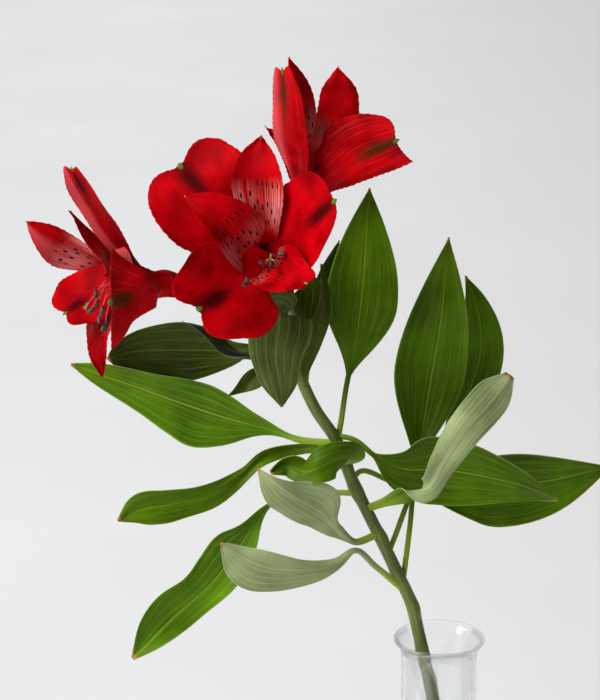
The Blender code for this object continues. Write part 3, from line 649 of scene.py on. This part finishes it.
leaves = dict(
    leaf_upright=dict(
        join=64,
        points=[(-30, 3, 71), (-29, 4, 78), (-26, 6, 93), (-24, 9, 109), (-23, 12, 124), (-22, 16, 137)],
        width=11, stalk=0.18, base=2.2),
    leaf_long_left=dict(
        join=63,
        points=[(-43, 4, 62.5), (-51, 7, 64.5), (-62, 8, 67), (-79, 8, 73), (-94, 7, 79),
            (-111, 6, 85.5)], left=[1.1, 1.1, 1.2, 3.5, 8.5, 11.5, 10, 7.6, 5.5, 3.2, 0.2],
        right=[1.1, 1.1, 1.2, 4, 7.3, 8.8, 8, 6.5, 5.3, 3.6, 0.2], top=leafBright),
    leaf_narrow_left=dict(
        join=61.5,
        points=[(-43, -3, 62), (-54, -6, 60), (-59, -8, 56), (-68, -12, 51), (-81, -16, 49),
            (-90, -18, 48), (-96, -19, 45)], left=[1, 1.6, 2.2, 2.4, 1.9, 3, 4.2, 4.7, 5.2, 4.4, 0.3],
        right=[1, 1.6, 2.2, 2.4, 1.9, 3, 4.2, 4.7, 5.2, 5, 0.5], curl=[0.9, 0.5, 0.2]),
    leaf_low_right=dict(
        join=64.5,
        points=[(-27, 0, 64), (-20, 2, 58), (-13, 3, 54), (0, 4, 53), (15, 2, 51), (26, -2, 49),
            (34, -7, 47)], width=11, stalk=0.15, belly=0.35),
    leaf_curled=dict(
        join=57,
        points=[(-28, -8, 60.5), (-32, -12, 61.5), (-37.2, -14, 60, 15), (-41.8, -12, 57.7, 50),
            (-46.4, -10, 59, 0), (-51.3, -12, 57.6)],
        left=[0.8, 3.6, 5.2, 5.6, 5.6, 5.2, 4.3, 3.6, 3.4, 2.6, 0.6],
        right=[0.8, 3.6, 5.2, 5.6, 5.6, 5.2, 4.3, 3.8, 3.8, 3, 0.8], curl=[-0.9, -0.3, 0.9],
        wave=(0.7, 2, 2.0)),
    leaf_far_right=dict(
        join=51,
        points=[(-25, 4, 52), (-14, 12, 46), (-3, 18, 41), (13, 22, 41), (32, 24, 42), (54, 24, 47)],
        left=11, right=13.5, stalk=0.3),
    leaf_lowest_left=dict(
        join=47,
        points=[(-37, 6, 45), (-47, 10, 42), (-53, 12, 38), (-60, 12, 27), (-70, 9, 14), (-82, 5, 4),
            (-94, 0, -7)], left=[0.8, 0.8, 0.9, 1, 2.5, 5.5, 6.5, 6, 5.8, 3.8, 0.3],
        right=[0.8, 0.8, 0.9, 1, 3, 8.4, 8.6, 8, 9.6, 7.2, 0.3], curl=[0.5], wave=(1.4, 2.2, 0.8),
        top=leafBright),
    leaf_pale_right=dict(
        join=42,
        points=[(-17, -5, 46, -180), (-11, -9, 50, -165), (-5, -13, 53, -20), (-0.5, -15, 61.8),
            (4.7, -17, 71.3), (10.9, -17, 79.3), (16, -14, 84.8), (18.5, -12, 87.7)],
        width=[1.2, 1.5, 2.6, 3.6, 3.6, 4.3, 5, 5.6, 6.1, 5.6, 1.5], turn=180, slot="leaf_under"),
    leaf_pale_middle=dict(
        join=34,
        points=[(-26, -5, 33), (-31, -9, 38), (-36, -13, 45), (-43, -17, 51), (-50, -19, 57),
            (-55, -18, 61)], left=[1.2, 1.2, 1.2, 1.6, 2.6, 8, 8.2, 5.8, 3, 1.4, 0.3],
        right=[1.2, 1.2, 1.2, 3, 5.5, 7.4, 7.7, 7.5, 7.3, 5, 0.3], curl=[0.5], turn=180, slot="leaf_under"),
    leaf_back_right=dict(
        join=28,
        points=[(-4.5, 17, 50), (5, 26, 62), (11, 28, 74), (13, 29, 88), (11, 30, 99), (8, 32, 106)],
        left=8, right=7.5, stalk=0.4, belly=0.5),
    leaf_tall_right=dict(
        join=19,
        points=[(-9, 6, 36), (-8, 10, 47), (-6, 13, 59), (-3, 16, 77), (0, 17, 98), (2, 20, 121)],
        left=12, right=10, stalk=0.3, base=1.5),
    leaf_pale_low=dict(
        join=17,
        points=[(-20, -4, 25), (-26, -7, 31), (-32, -11, 28.5), (-43, -15, 28), (-54, -18, 30.5),
            (-66, -20, 38.5)], left=[1, 1, 1, 1.1, 1.3, 2.2, 3.4, 4.8, 4.8, 2.8, 0.3],
        right=[1, 1, 1, 1.1, 1.8, 3.9, 6, 8.3, 9.6, 7, 0.3], turn=180, slot="leaf_under"),
    bract_edge=dict(
        join=80,
        points=[(-41, -4, 89), (-38.5, -5, 96), (-36.3, -4, 103), (-35.3, -3, 110), (-36.3, 0, 118)],
        width=[0.8, 1.5, 2.6, 2.8, 2.2, 1.4, 0.3], turn=20, top=bractTop, under=bractUnder),
    bract_folded=dict(
        join=82,
        points=[(-45, -4, 95), (-47, -8, 105), (-48.3, -13, 107), (-48.6, -17, 103), (-49.4, -18, 97),
            (-49.1, -17, 90.5), (-48.3, -16, 85), (-47.7, -14, 78.7)],
        left=[0.8, 0.8, 0.8, 0.8, 0.8, 8.2, 9.6, 8.2, 6.7, 4.8, 0.4],
        right=[0.8, 0.8, 0.8, 0.8, 0.8, 7.6, 8.8, 8, 6.7, 4.8, 0.4], curl=[0, 0, -0.5], top=bractUnder,
        under=bractUnder, slot="leaf_under"),
    bract_small=dict(
        join=84, points=[(-50, 5, 85), (-55, 7, 82), (-59, 7, 79), (-64, 5, 76)], width=3.5, curl=[0.9],
        top=bractTop, under=bractUnder),
    bract_left=dict(
        join=87,
        points=[(-55, 8, 90), (-63, 11, 88), (-73, 12, 88), (-83, 12, 88), (-94, 10, 88), (-100, 6, 87)],
        width=9.3, stalk=0.15, belly=0.55, tip=0.6, top=bractTop, under=bractUnder),
    bract_twisted=dict(
        join=88, points=[(-51, -1, 90), (-57, -2, 90), (-64, -4, 92), (-70, -5, 97), (-77, -5, 102)],
        width=4, stalk=0.3, turn=75, curl=[0.9], top=bractDark, under=bractDark),
    bract_right=dict(
        join=87, points=[(-39, 9, 98), (-35, 11, 107), (-33, 12, 115), (-31, 12, 122)], width=4,
        top=bractTop, under=bractUnder),
    bract_behind=dict(
        join=89, points=[(-42, 0, 94), (-40, 2, 101), (-39, 4, 107), (-39, 6, 113)],
        width=[0.8, 0.8, 1, 1.5, 3, 5, 6, 5.5, 3, 0.3], top=bractTop, under=bractUnder))


# Where a leaf leaves the stem: its centre at the join moved towards the leaf's first point by 0.6 radius,
# square to the stem
def joinPoint(height, toward):
    centre, radius = stemAt(height)
    below = stemAt(height - 2)[0]
    way = toward - centre
    along = unit(centre - below)
    return centre + unit(way - (way @ along) * along) * radius * 0.6


# A blade from its join on the stem through its points, with its face towards the viewer unless turned
def makeLeaf(node, settings):
    form = {**plainLeaf, **settings}
    rows = fromRim(form["points"])
    rows = np.vstack([[*joinPoint(form["join"], rows[0, :3]), rows[0, 3]], rows])
    rows[:, 3] += form["turn"]
    front = np.array(form["face"], float)
    shell = bladeShell(rows, lambda midrib: np.broadcast_to(front, midrib.shape), form)
    makePiece(node + "_blade", [shell], [form["top"], form["under"]], node)


for number, (node, settings) in enumerate(leaves.items()):
    makeLeaf(node, {"wave": (0.6, 2.2, 1.3 * number), **settings})
print("leaves made:", len(leaves))


plainPetal = dict(
    steps=110, strips=49, width=1, stalk=0, stalkHalf=0.9, belly=0.68, base=1.5, tip=0.75, end=0,
    lobe=(0, 0), bow=(0, 0), fray=0.09, point=0.6, curl=[0.45], buckle=0.35, thickness=0.32,
    stalkRound=0.8, stalkFade=0.3, ridge=0.2, turn=0, blush=(1, 2, 0.1), face=None,
    top=petalInner, under=petalBack, slot="inner_petal")
outerPetal = dict(
    belly=0.74, base=1.8, tip=0.7, end=0.5, lobe=(0.25, 0.25), bow=(0.2, 0.2), point=1.3,
    curl=[1.2, 0.6, 0.4, 0.35], top=petalOuter, under=petalOuterBack, slot="outer_petal")

flowers = dict(
    centre=dict(
        base=(-47.5, 8, 106.5), mouth=(-53.5, -18, 123), side=(0, 1, 0.2),
        stamens=[(-48, -24, 127), (-50.5, -26, 124.5), (-48.5, -21, 124), (-57.5, -30, 121),
            (-58, -26.5, 119), (-53.5, -22, 124), (-51, -24, 125.5)],
        outer_left=dict(
            ring=40, points=[(-57, -10, 127.6), (-64, -14, 136.8), (-70.5, -13, 143), (-76.6, -9, 148.8)],
            left=[1.8, 2, 2.4, 4.5, 9, 13.5, 16.2, 16, 14.2],
            right=[1.8, 2, 2.4, 4.5, 9, 13, 15.5, 15.5, 14], lobe=(0.2, 0.2), bow=(0.15, 0.15),
            curl=[0.5, 0.4, 0.2]),
        outer_right=dict(
            ring=-70,
            points=[(-49.8, -14, 122.1), (-43.5, -22, 131.2), (-37.9, -28, 138.4), (-33.5, -31, 143.7)],
            left=[1.8, 2, 2.6, 5, 9, 12.5, 13.8, 13.4, 12],
            right=[1.8, 2, 2.6, 5, 8.5, 11, 11.8, 10.8, 9.5], lobe=(0.12, 0.0), bow=(0.1, 0.8)),
        outer_low=dict(
            ring=165,
            points=[(-53.5, -18, 119.3), (-59.7, -22, 117.5), (-65.8, -27, 115.3), (-70.7, -30, 112.9)],
            left=[1.8, 2, 2.2, 2.8, 6.5, 13, 15.8, 16, 13.5],
            right=[1.8, 2, 2.2, 2.8, 5, 11, 14.5, 15.2, 13], lobe=(0.2, 0.35), bow=(0.25, 0.2),
            curl=[0.3], face=(-0.1, -1, 0.3)),
        inner_top=dict(
            ring=-10,
            points=[(-52.5, -14.5, 129.5), (-54, -19, 143), (-54.5, -18, 151), (-53.5, -13, 158.5)],
            left=[1.3, 1.4, 1.6, 2, 2.8, 4, 5.4, 7.2, 7.7, 5.4, 0.2],
            right=[1.3, 1.4, 1.6, 2, 2.8, 4, 5.4, 7.2, 7.7, 5.2, 0.2], top=petalStriped),
        inner_left=dict(
            ring=95,
            points=[(-59, -19, 126.5), (-63.5, -25, 135.5), (-69, -26, 140.5), (-74.5, -24, 143.5)],
            left=5.6, right=9.4, base=1.8),
        inner_low=dict(
            ring=-125,
            points=[(-51.2, -20, 121.3), (-47.7, -26, 121.4), (-44.3, -30, 121.3), (-41.2, -33, 121)],
            left=[1.3, 1.5, 1.7, 2.2, 4, 6.5, 8.5, 8.8, 5], right=[1.3, 1.5, 1.7, 2.2, 4, 6, 7, 6, 3],
            lobe=(0.35, 0.1), curl=[0.4, 0.4, 0.9], face=(0.1, -1, 0.4))),
    left=dict(
        base=(-77, 6, 109), mouth=(-95, -2, 116.5), side=(-1, -0.5, 0),
        stamens=[(-102, -6, 110.5), (-103.5, -6, 105.5), (-100, -10, 106.5), (-101, -8, 103.5),
            (-99.5, -8, 101), (-102, -3, 107), (-104.5, -4, 107)],
        outer_top=dict(
            ring=0,
            points=[(-86.6, 2, 115), (-95, -1, 124.5, 20), (-102.6, -4, 137.4, 20),
                (-107.5, -8, 147.7, 20)], width=[2.6, 3, 3.4, 4.2, 5, 6, 6.6, 6.2, 4.5],
            blush=(-1, 0.35, 0.3)),
        outer_near=dict(
            ring=-110, points=[(-84.9, -5, 110.5), (-90.9, -10, 110.7), (-97, -14, 110.3)],
            width=[2.2, 3, 4.4, 5, 5.8, 7.6, 9.8, 12.8, 16], lobe=(0, 0), bow=(0.12, 0.05),
            curl=[0.5, 0.3, 0.25], face=(0, 1, 0.1)),
        outer_far=dict(
            ring=130, points=[(-95.7, 4, 111), (-101.5, 5, 108.5), (-107, 4, 105.3), (-111.5, 2, 102.8)],
            width=[2, 2.4, 3.2, 5, 7.5, 9.5, 10.6, 10.6, 9.5], lobe=(0.2, 0.2), bow=(0.15, 0.15),
            curl=[0.5, 0.4, 0.1], wave=(0.9, 3, 1.0)),
        inner_near=dict(
            ring=-50,
            points=[(-94.8, -6, 118.3), (-100.1, -10, 125.8), (-104.3, -13, 131.9), (-108, -15, 137.3)],
            width=4.5),
        inner_top=dict(
            ring=60,
            points=[(-95.2, -2, 115.1, 40), (-103.4, -6, 122.5, 40), (-111.7, -8, 127.7, 40),
                (-121.1, -8, 132.5, 40)], left=9.5, right=4, blush=(-1, 0.1, 0.5), top=petalStriped),
        inner_low=dict(
            ring=180,
            points=[(-98.6, 2, 103.4), (-101.7, -2, 96.9), (-102.2, -5, 91.7), (-100.4, -7, 85.8)],
            left=[1.3, 1.5, 1.8, 2.6, 4, 5.4, 6.2, 6, 4.6, 2.6, 0.3],
            right=[1.3, 1.5, 1.8, 2.6, 3.6, 4.2, 4.6, 4.6, 3.6, 1.6, 0.3], wave=(0.9, 3, 0.5))),
    right=dict(
        base=(-42, 15, 123), mouth=(-35, 12, 145), side=(1, -0.5, 0),
        stamens=[(-37, 13, 154), (-34.5, 12, 156), (-32.5, 13, 153), (-33, 16, 152), (-35.5, 17, 155),
            (-38, 16, 151), (-35.5, 14.5, 158)],
        outer_left=dict(
            ring=40,
            points=[(-43.2, 10, 136.3), (-45.6, 7, 150.4, 35), (-47, 5, 162.6, 35),
                (-47.8, 5, 173.7, 35)], width=[2, 2.6, 3.6, 4.8, 5.8, 6.6, 7, 6.6, 4.8],
            right=[2, 2.6, 3.6, 4.8, 5.8, 6.6, 7, 6.6, 5], lobe=(0.3, 0.2), blush=(1, 0.1, 0.6)),
        outer_right=dict(
            ring=155, points=[(-37.3, 10, 137.8), (-29.5, 5, 145.5), (-22.4, 2, 150.5), (-15, 0, 154.5)],
            left=[2, 2.4, 3, 3.8, 4.8, 6, 7, 7.6, 7.6], right=[2, 2.6, 4, 6.5, 9.5, 12, 12.8, 11.5, 8.5],
            lobe=(0, 0.15), bow=(-0.18, 0.1), curl=[0.5, 0.3, 0.2], face=(0.1, 1, -0.1)),
        outer_back=dict(
            ring=-80,
            points=[(-44.1, 22, 138.1), (-45.9, 26, 143.3), (-48.3, 29, 147.6), (-52.5, 29, 152.3)],
            left=1.8, right=5.5, end=0, tip=0.9, lobe=(0, 0), bow=(0, 0), face=(0, -1, 0.2)),
        inner_left=dict(
            ring=-15,
            points=[(-41.5, 16, 136.4), (-41.8, 18, 148.1), (-42.9, 20, 161.2), (-45.9, 22, 174.8)],
            width=6.5),
        inner_front=dict(
            ring=95, points=[(-38.2, 10, 137.8), (-33.9, 8, 150.2), (-31.6, 7, 162.2), (-31.7, 7, 174.5)],
            width=[1.5, 2, 2.8, 3.8, 5, 6, 6.4, 6.2, 5, 0.3], face=(0.1, 1, -0.1)),
        inner_back=dict(
            ring=-150,
            points=[(-38.2, 20, 135.5), (-35.2, 25, 143.6), (-32.8, 28, 149), (-30.6, 30, 152.3)], width=6)))
ovary = dict(length=5.2, radius=2.3, ribs=6, ribDepth=0.08)
tube = dict(start=0.2, outerRing=2.6, innerRing=1.5, length=8, flare=0.8)
flowerStalk = dict(radius=1.1, sides=16, sink=1, sinkOut=0.7, rise=4, riseOut=2, arrive=5, overlap=0.6)
# styleArm: how far each arm of the style runs along it and out from it, in millimetres
stamen = dict(
    filament=0.3, tipFilament=0.2, antherLength=3.2, antherRadius=0.75, antherHalves=2, groove=0.16,
    apart=0.6, straight=9, bulge=1.6, gathered=22, armRadius=0.24, armTurns=(0, 2.1, 4.2),
    styleArm=[(-0.4, 0), (0.8, 0.5), (1.2, 1.3)])


# The flower's top of ovary, the way its tube points, and two directions across it
def flowerAxes(settings):
    base, mouth = fromRim([settings["base"], settings["mouth"]])[:, :3]
    axis = unit(mouth - base)
    across = unit(np.array([0, 0, 1]) - axis[2] * axis)
    return base, axis, across, np.cross(axis, across)


# One tepal: it rises from its ring about the ovary's top, then runs through its points, its inner face
# looking along the axis and inwards
def makeTepal(node, axes, form, ringRadius):
    base, axis, across, beyond = axes
    angle = math.radians(form["ring"])
    out = math.cos(angle) * across + math.sin(angle) * beyond
    low = base + (axis * tube["start"] + out * ringRadius) * mm
    claw = base + (axis * tube["length"] + out * (ringRadius + tube["flare"])) * mm
    rows = np.vstack([[*low, 0], [*claw, 0], fromRim(form["points"])])
    rows[:, 3] += form["turn"]

    def facing(midrib):
        if form["face"]:
            return np.broadcast_to(unit(np.array(form["face"], float)), midrib.shape)
        away = midrib - base
        return axis - unit(away - (away @ axis)[:, None] * axis)

    makePiece(node + "_petal", [bladeShell(rows, facing, form)], [form["top"], form["under"]], node)


# An egg about a centre: sections of radius * sqrt(1 - t^2) along its axis, ribbed by 1 + depth cos
def eggShell(centre, axis, radius, half, mark=0, ribs=0, depth=0.0):
    t = np.sin(np.linspace(-math.pi / 2, math.pi / 2, 22))
    radii = radius * np.sqrt(np.maximum(1 - t**2, 0.0004))

    def swell(along, angle):
        return radii[:, None] * depth * np.cos(ribs * angle)

    return rodShell(centre + axis * half * t[:, None], radii, 24, mark, swell)


# A curved stalk from just inside the stem's top, out to the flower's side and up into its ovary
def makeFlowerStalk(name, settings, axes):
    base, axis = axes[:2]
    way = unit(stemLine[-1] - stemLine[-20])
    side = np.array(settings["side"], float)
    outward = unit(side - (side @ way) * way)
    top = stemLine[-1]
    below = base - axis * ovary["length"] * mm
    route = [
        top - way * flowerStalk["sink"] * mm + outward * flowerStalk["sinkOut"] * mm,
        top + way * flowerStalk["rise"] * mm + outward * flowerStalk["riseOut"] * mm,
        below - axis * flowerStalk["arrive"] * mm,
        below + axis * flowerStalk["overlap"] * mm,
    ]
    rod = rodShell(smoothPath(route, 40), flowerStalk["radius"] * mm, flowerStalk["sides"])
    makePiece(f"{name}_flowerStalk", [rod], [stalkGreen], f"{name}_pedicel")


# Three outer and three inner tepals, each waved out of step with the last, on the ribbed egg of the ovary
def makeFlower(name, settings):
    axes = flowerAxes(settings)
    base, axis = axes[:2]
    tepals = [part for part in settings if part.startswith(("outer", "inner"))]
    for number, part in enumerate(tepals):
        kind, ring = (outerPetal, "outerRing") if part.startswith("outer") else ({}, "innerRing")
        form = {**plainPetal, **kind, "wave": (0.35, 2.5, 1.7 * number), **settings[part]}
        makeTepal(f"{name}_{part}", axes, form, tube[ring])
    half = ovary["length"] / 2 * mm
    egg = eggShell(base - axis * half, axis, ovary["radius"] * mm, half, 0, ovary["ribs"], ovary["ribDepth"])
    makePiece(f"{name}_seedVessel", [egg], [ovaryGreen], f"{name}_ovary")
    makeFlowerStalk(name, settings, axes)
    makeStamens(name, settings, axes)


# Filaments that taper from the ovary to their anthers, and last the style with its three short arms
def makeStamens(name, settings, axes):
    base, axis, across, beyond = axes
    low = base + axis * tube["start"] * mm
    ends = fromRim(settings["stamens"])[:, :3]
    radii = np.linspace(stamen["filament"], stamen["tipFilament"], 40) * mm
    shells = []
    for k, end in enumerate(ends):
        isStyle = k == len(ends) - 1
        angle = 2 * math.pi * k / (len(ends) - 1)
        out = (math.cos(angle) * across + math.sin(angle) * beyond) * (0 if isStyle else stamen["apart"]) * mm
        path = smoothPath([low + out, low + axis * stamen["straight"] * mm + out * stamen["bulge"],
                           (low + axis * stamen["gathered"] * mm + end) / 2 + out, end], 40)
        shells.append(rodShell(path, radii, 10))
        tip = unit(path[-1] - path[-3])
        if isStyle:
            for turn in stamen["armTurns"]:
                spread = math.cos(turn) * across + math.sin(turn) * beyond
                arm = [end + (tip * onward + spread * aside) * mm for onward, aside in stamen["styleArm"]]
                shells.append(rodShell(smoothPath(arm, 12), stamen["armRadius"] * mm, 8, 2))
        else:
            lean = unit(tip + 0.6 * np.array([math.cos(2.4 * k), -0.4, math.sin(2.4 * k)]))
            shells.append(eggShell(end, lean, stamen["antherRadius"] * mm, stamen["antherLength"] / 2 * mm,
                                   1, stamen["antherHalves"], stamen["groove"]))
    makePiece(f"{name}_stamenThreads", shells, [filamentRed, antherGrey, stigmaGreen], f"{name}_stamens")


for name, settings in flowers.items():
    makeFlower(name, settings)
    print("flower made:", name)


# dim is a painted shade colour: the floor fades to it on the right, standing in for the light falling off
board = dict(
    radius=9.0, level=-0.3, rings=24, sides=96, pale="#e9eaeb", mottle="#e4e5e6", dim="#d2cfcd",
    paintedShadeFrom=-0.2, paintedShadeTo=0.5)


# A disc under the vase with its edge far out of sight: rings at radius * share^3, closed in the middle
def makeFloor():
    rings, sides, level = board["rings"], board["sides"], board["level"] * mm
    radius = board["radius"] * np.linspace(0.0005, 1, rings) ** 3
    angle = roundAngles(sides)
    ring = np.stack([np.cos(angle), np.sin(angle)], -1)[None] * radius[:, None, None]
    points = np.concatenate([np.dstack([ring, np.full((rings, sides), level)]).reshape(-1, 3),
                             [[0, 0, level]]])
    j = np.arange(sides)
    middle = np.stack([np.full(sides, rings * sides), j, (j + 1) % sides], -1)
    mesh = bpy.data.meshes.new("floorSweep")
    faces = gridFaces(rings, sides, wrap=True)[:, ::-1].tolist() + middle.tolist()
    mesh.from_pydata(points.tolist(), [], faces)
    mesh.shade_smooth()
    floor = bpy.data.objects.new("floorSweep", mesh)
    bpy.context.scene.collection.objects.link(floor)
    # Painted board, rolled: matt and pale, with a faint mottle, and a little dimmer to the right as painted
    # shade, standing in for the room's light falling off
    made, add, shader = newMaterial("paintedBoard", {"Roughness": 0.85, "Specular IOR Level": 0.2})
    spot = add("TexCoord").outputs["Object"]
    mottle = add("TexNoise", {"Vector": spot, "Scale": 6.0, "Detail": 3.0})
    share = add("MapRange", {"Value": mottle, "From Min": 0.3, "From Max": 0.7})
    rightward = add("SeparateXYZ", {"Vector": spot}).outputs["X"]
    paintedShadeShare = add("MapRange", {"Value": rightward, "From Min": board["paintedShadeFrom"],
                              "From Max": board["paintedShadeTo"]}, interpolation_type="SMOOTHSTEP")
    paint = add("Mix", {0: share, 6: colour(board["mottle"]), 7: colour(board["pale"])}, data_type="RGBA")
    # painted shade: towards the right the paint fades to the dim colour, where the light falls off
    paint = add("Mix", {0: paintedShadeShare, 6: paint, 7: colour(board["dim"])}, data_type="RGBA")
    feed(shader, {"Base Color": paint})
    mesh.materials.append(made)


# Two suns by the way their light comes from, its strength and the width of the disc in degrees, and a
# pane by its place, size and power
suns = dict(windowLight=((-0.85, -0.35, 0.85), 2.8, 30), roomLight=((0.9, -0.6, 0.5), 0.15, 120))
pane = dict(at=(-0.9, -0.8, 0.75), size=(0.35, 0.6), power=5.0)


# A light turned so that it shines from the way given
def makeLight(name, kind, energy, way):
    data = bpy.data.lights.new(name, kind)
    data.energy = energy
    light = bpy.data.objects.new(name, data)
    x, y, z = unit(np.array(way, float))
    light.rotation_euler = (math.acos(z), 0, math.atan2(y, x) + math.pi / 2)
    bpy.context.scene.collection.objects.link(light)
    return light


# A window pane of light that glass and wet-looking skin mirror, hidden from the camera itself
def makePane():
    light = makeLight("windowPane", "AREA", pane["power"], np.array(pane["at"]) - rimCentre)
    light.data.shape = "RECTANGLE"
    light.data.size, light.data.size_y = pane["size"]
    light.location = pane["at"]
    light.visible_camera = False


sky = dict(dim="#5c5e61", bright="#ffffff", strength=0.42, toward=(-0.7, 0.3, 0.5))


# A sky that brightens from the right and behind the viewer towards the upper left
def makeSky():
    world = bpy.data.worlds.new("studioRoom")
    bpy.context.scene.world = world
    world.use_nodes = True
    add = functools.partial(addNode, world.node_tree)
    spot = add("TexCoord").outputs["Generated"]
    toward = add("VectorMath", {0: spot, 1: tuple(unit(np.array(sky["toward"])))}, operation="DOT_PRODUCT")
    share = add("MapRange", {"Value": toward.outputs["Value"], "From Min": -0.7, "From Max": 0.6},
                interpolation_type="SMOOTHSTEP")
    glow = add("Mix", {0: share, 6: colour(sky["dim"]), 7: colour(sky["bright"])}, data_type="RGBA")
    feed(world.node_tree.nodes["Background"], {"Color": glow, "Strength": sky["strength"]})


shot = dict(elevation=16.5, distance=750, rimRight=42.64, rimBelow=87.94, lens=126.1, sensor=36)


# The camera looks down by the elevation, back from the rim, which lies right of and below its axis
def makeCamera():
    tilt = math.radians(shot["elevation"])
    look = np.array([0, math.cos(tilt), -math.sin(tilt)])
    over = np.array([0, math.sin(tilt), math.cos(tilt)])
    right = np.array([1, 0, 0])
    data = bpy.data.cameras.new("camera")
    data.lens = shot["lens"]
    data.sensor_width = shot["sensor"]
    data.clip_start = 0.02
    camera = bpy.data.objects.new("camera", data)
    camera.location = rimCentre - (
        shot["rimRight"] * right - shot["rimBelow"] * over + shot["distance"] * look) * mm
    camera.rotation_euler = (math.pi / 2 - tilt, 0, 0)
    bpy.context.scene.collection.objects.link(camera)
    bpy.context.scene.camera = camera


makeFloor()
for name, (way, strength, spread) in suns.items():
    makeLight(name, "SUN", strength, way).data.angle = math.radians(spread)
makePane()
makeSky()
makeCamera()
bpy.context.scene.view_settings.view_transform = "Standard"
print("floor, light and camera set")
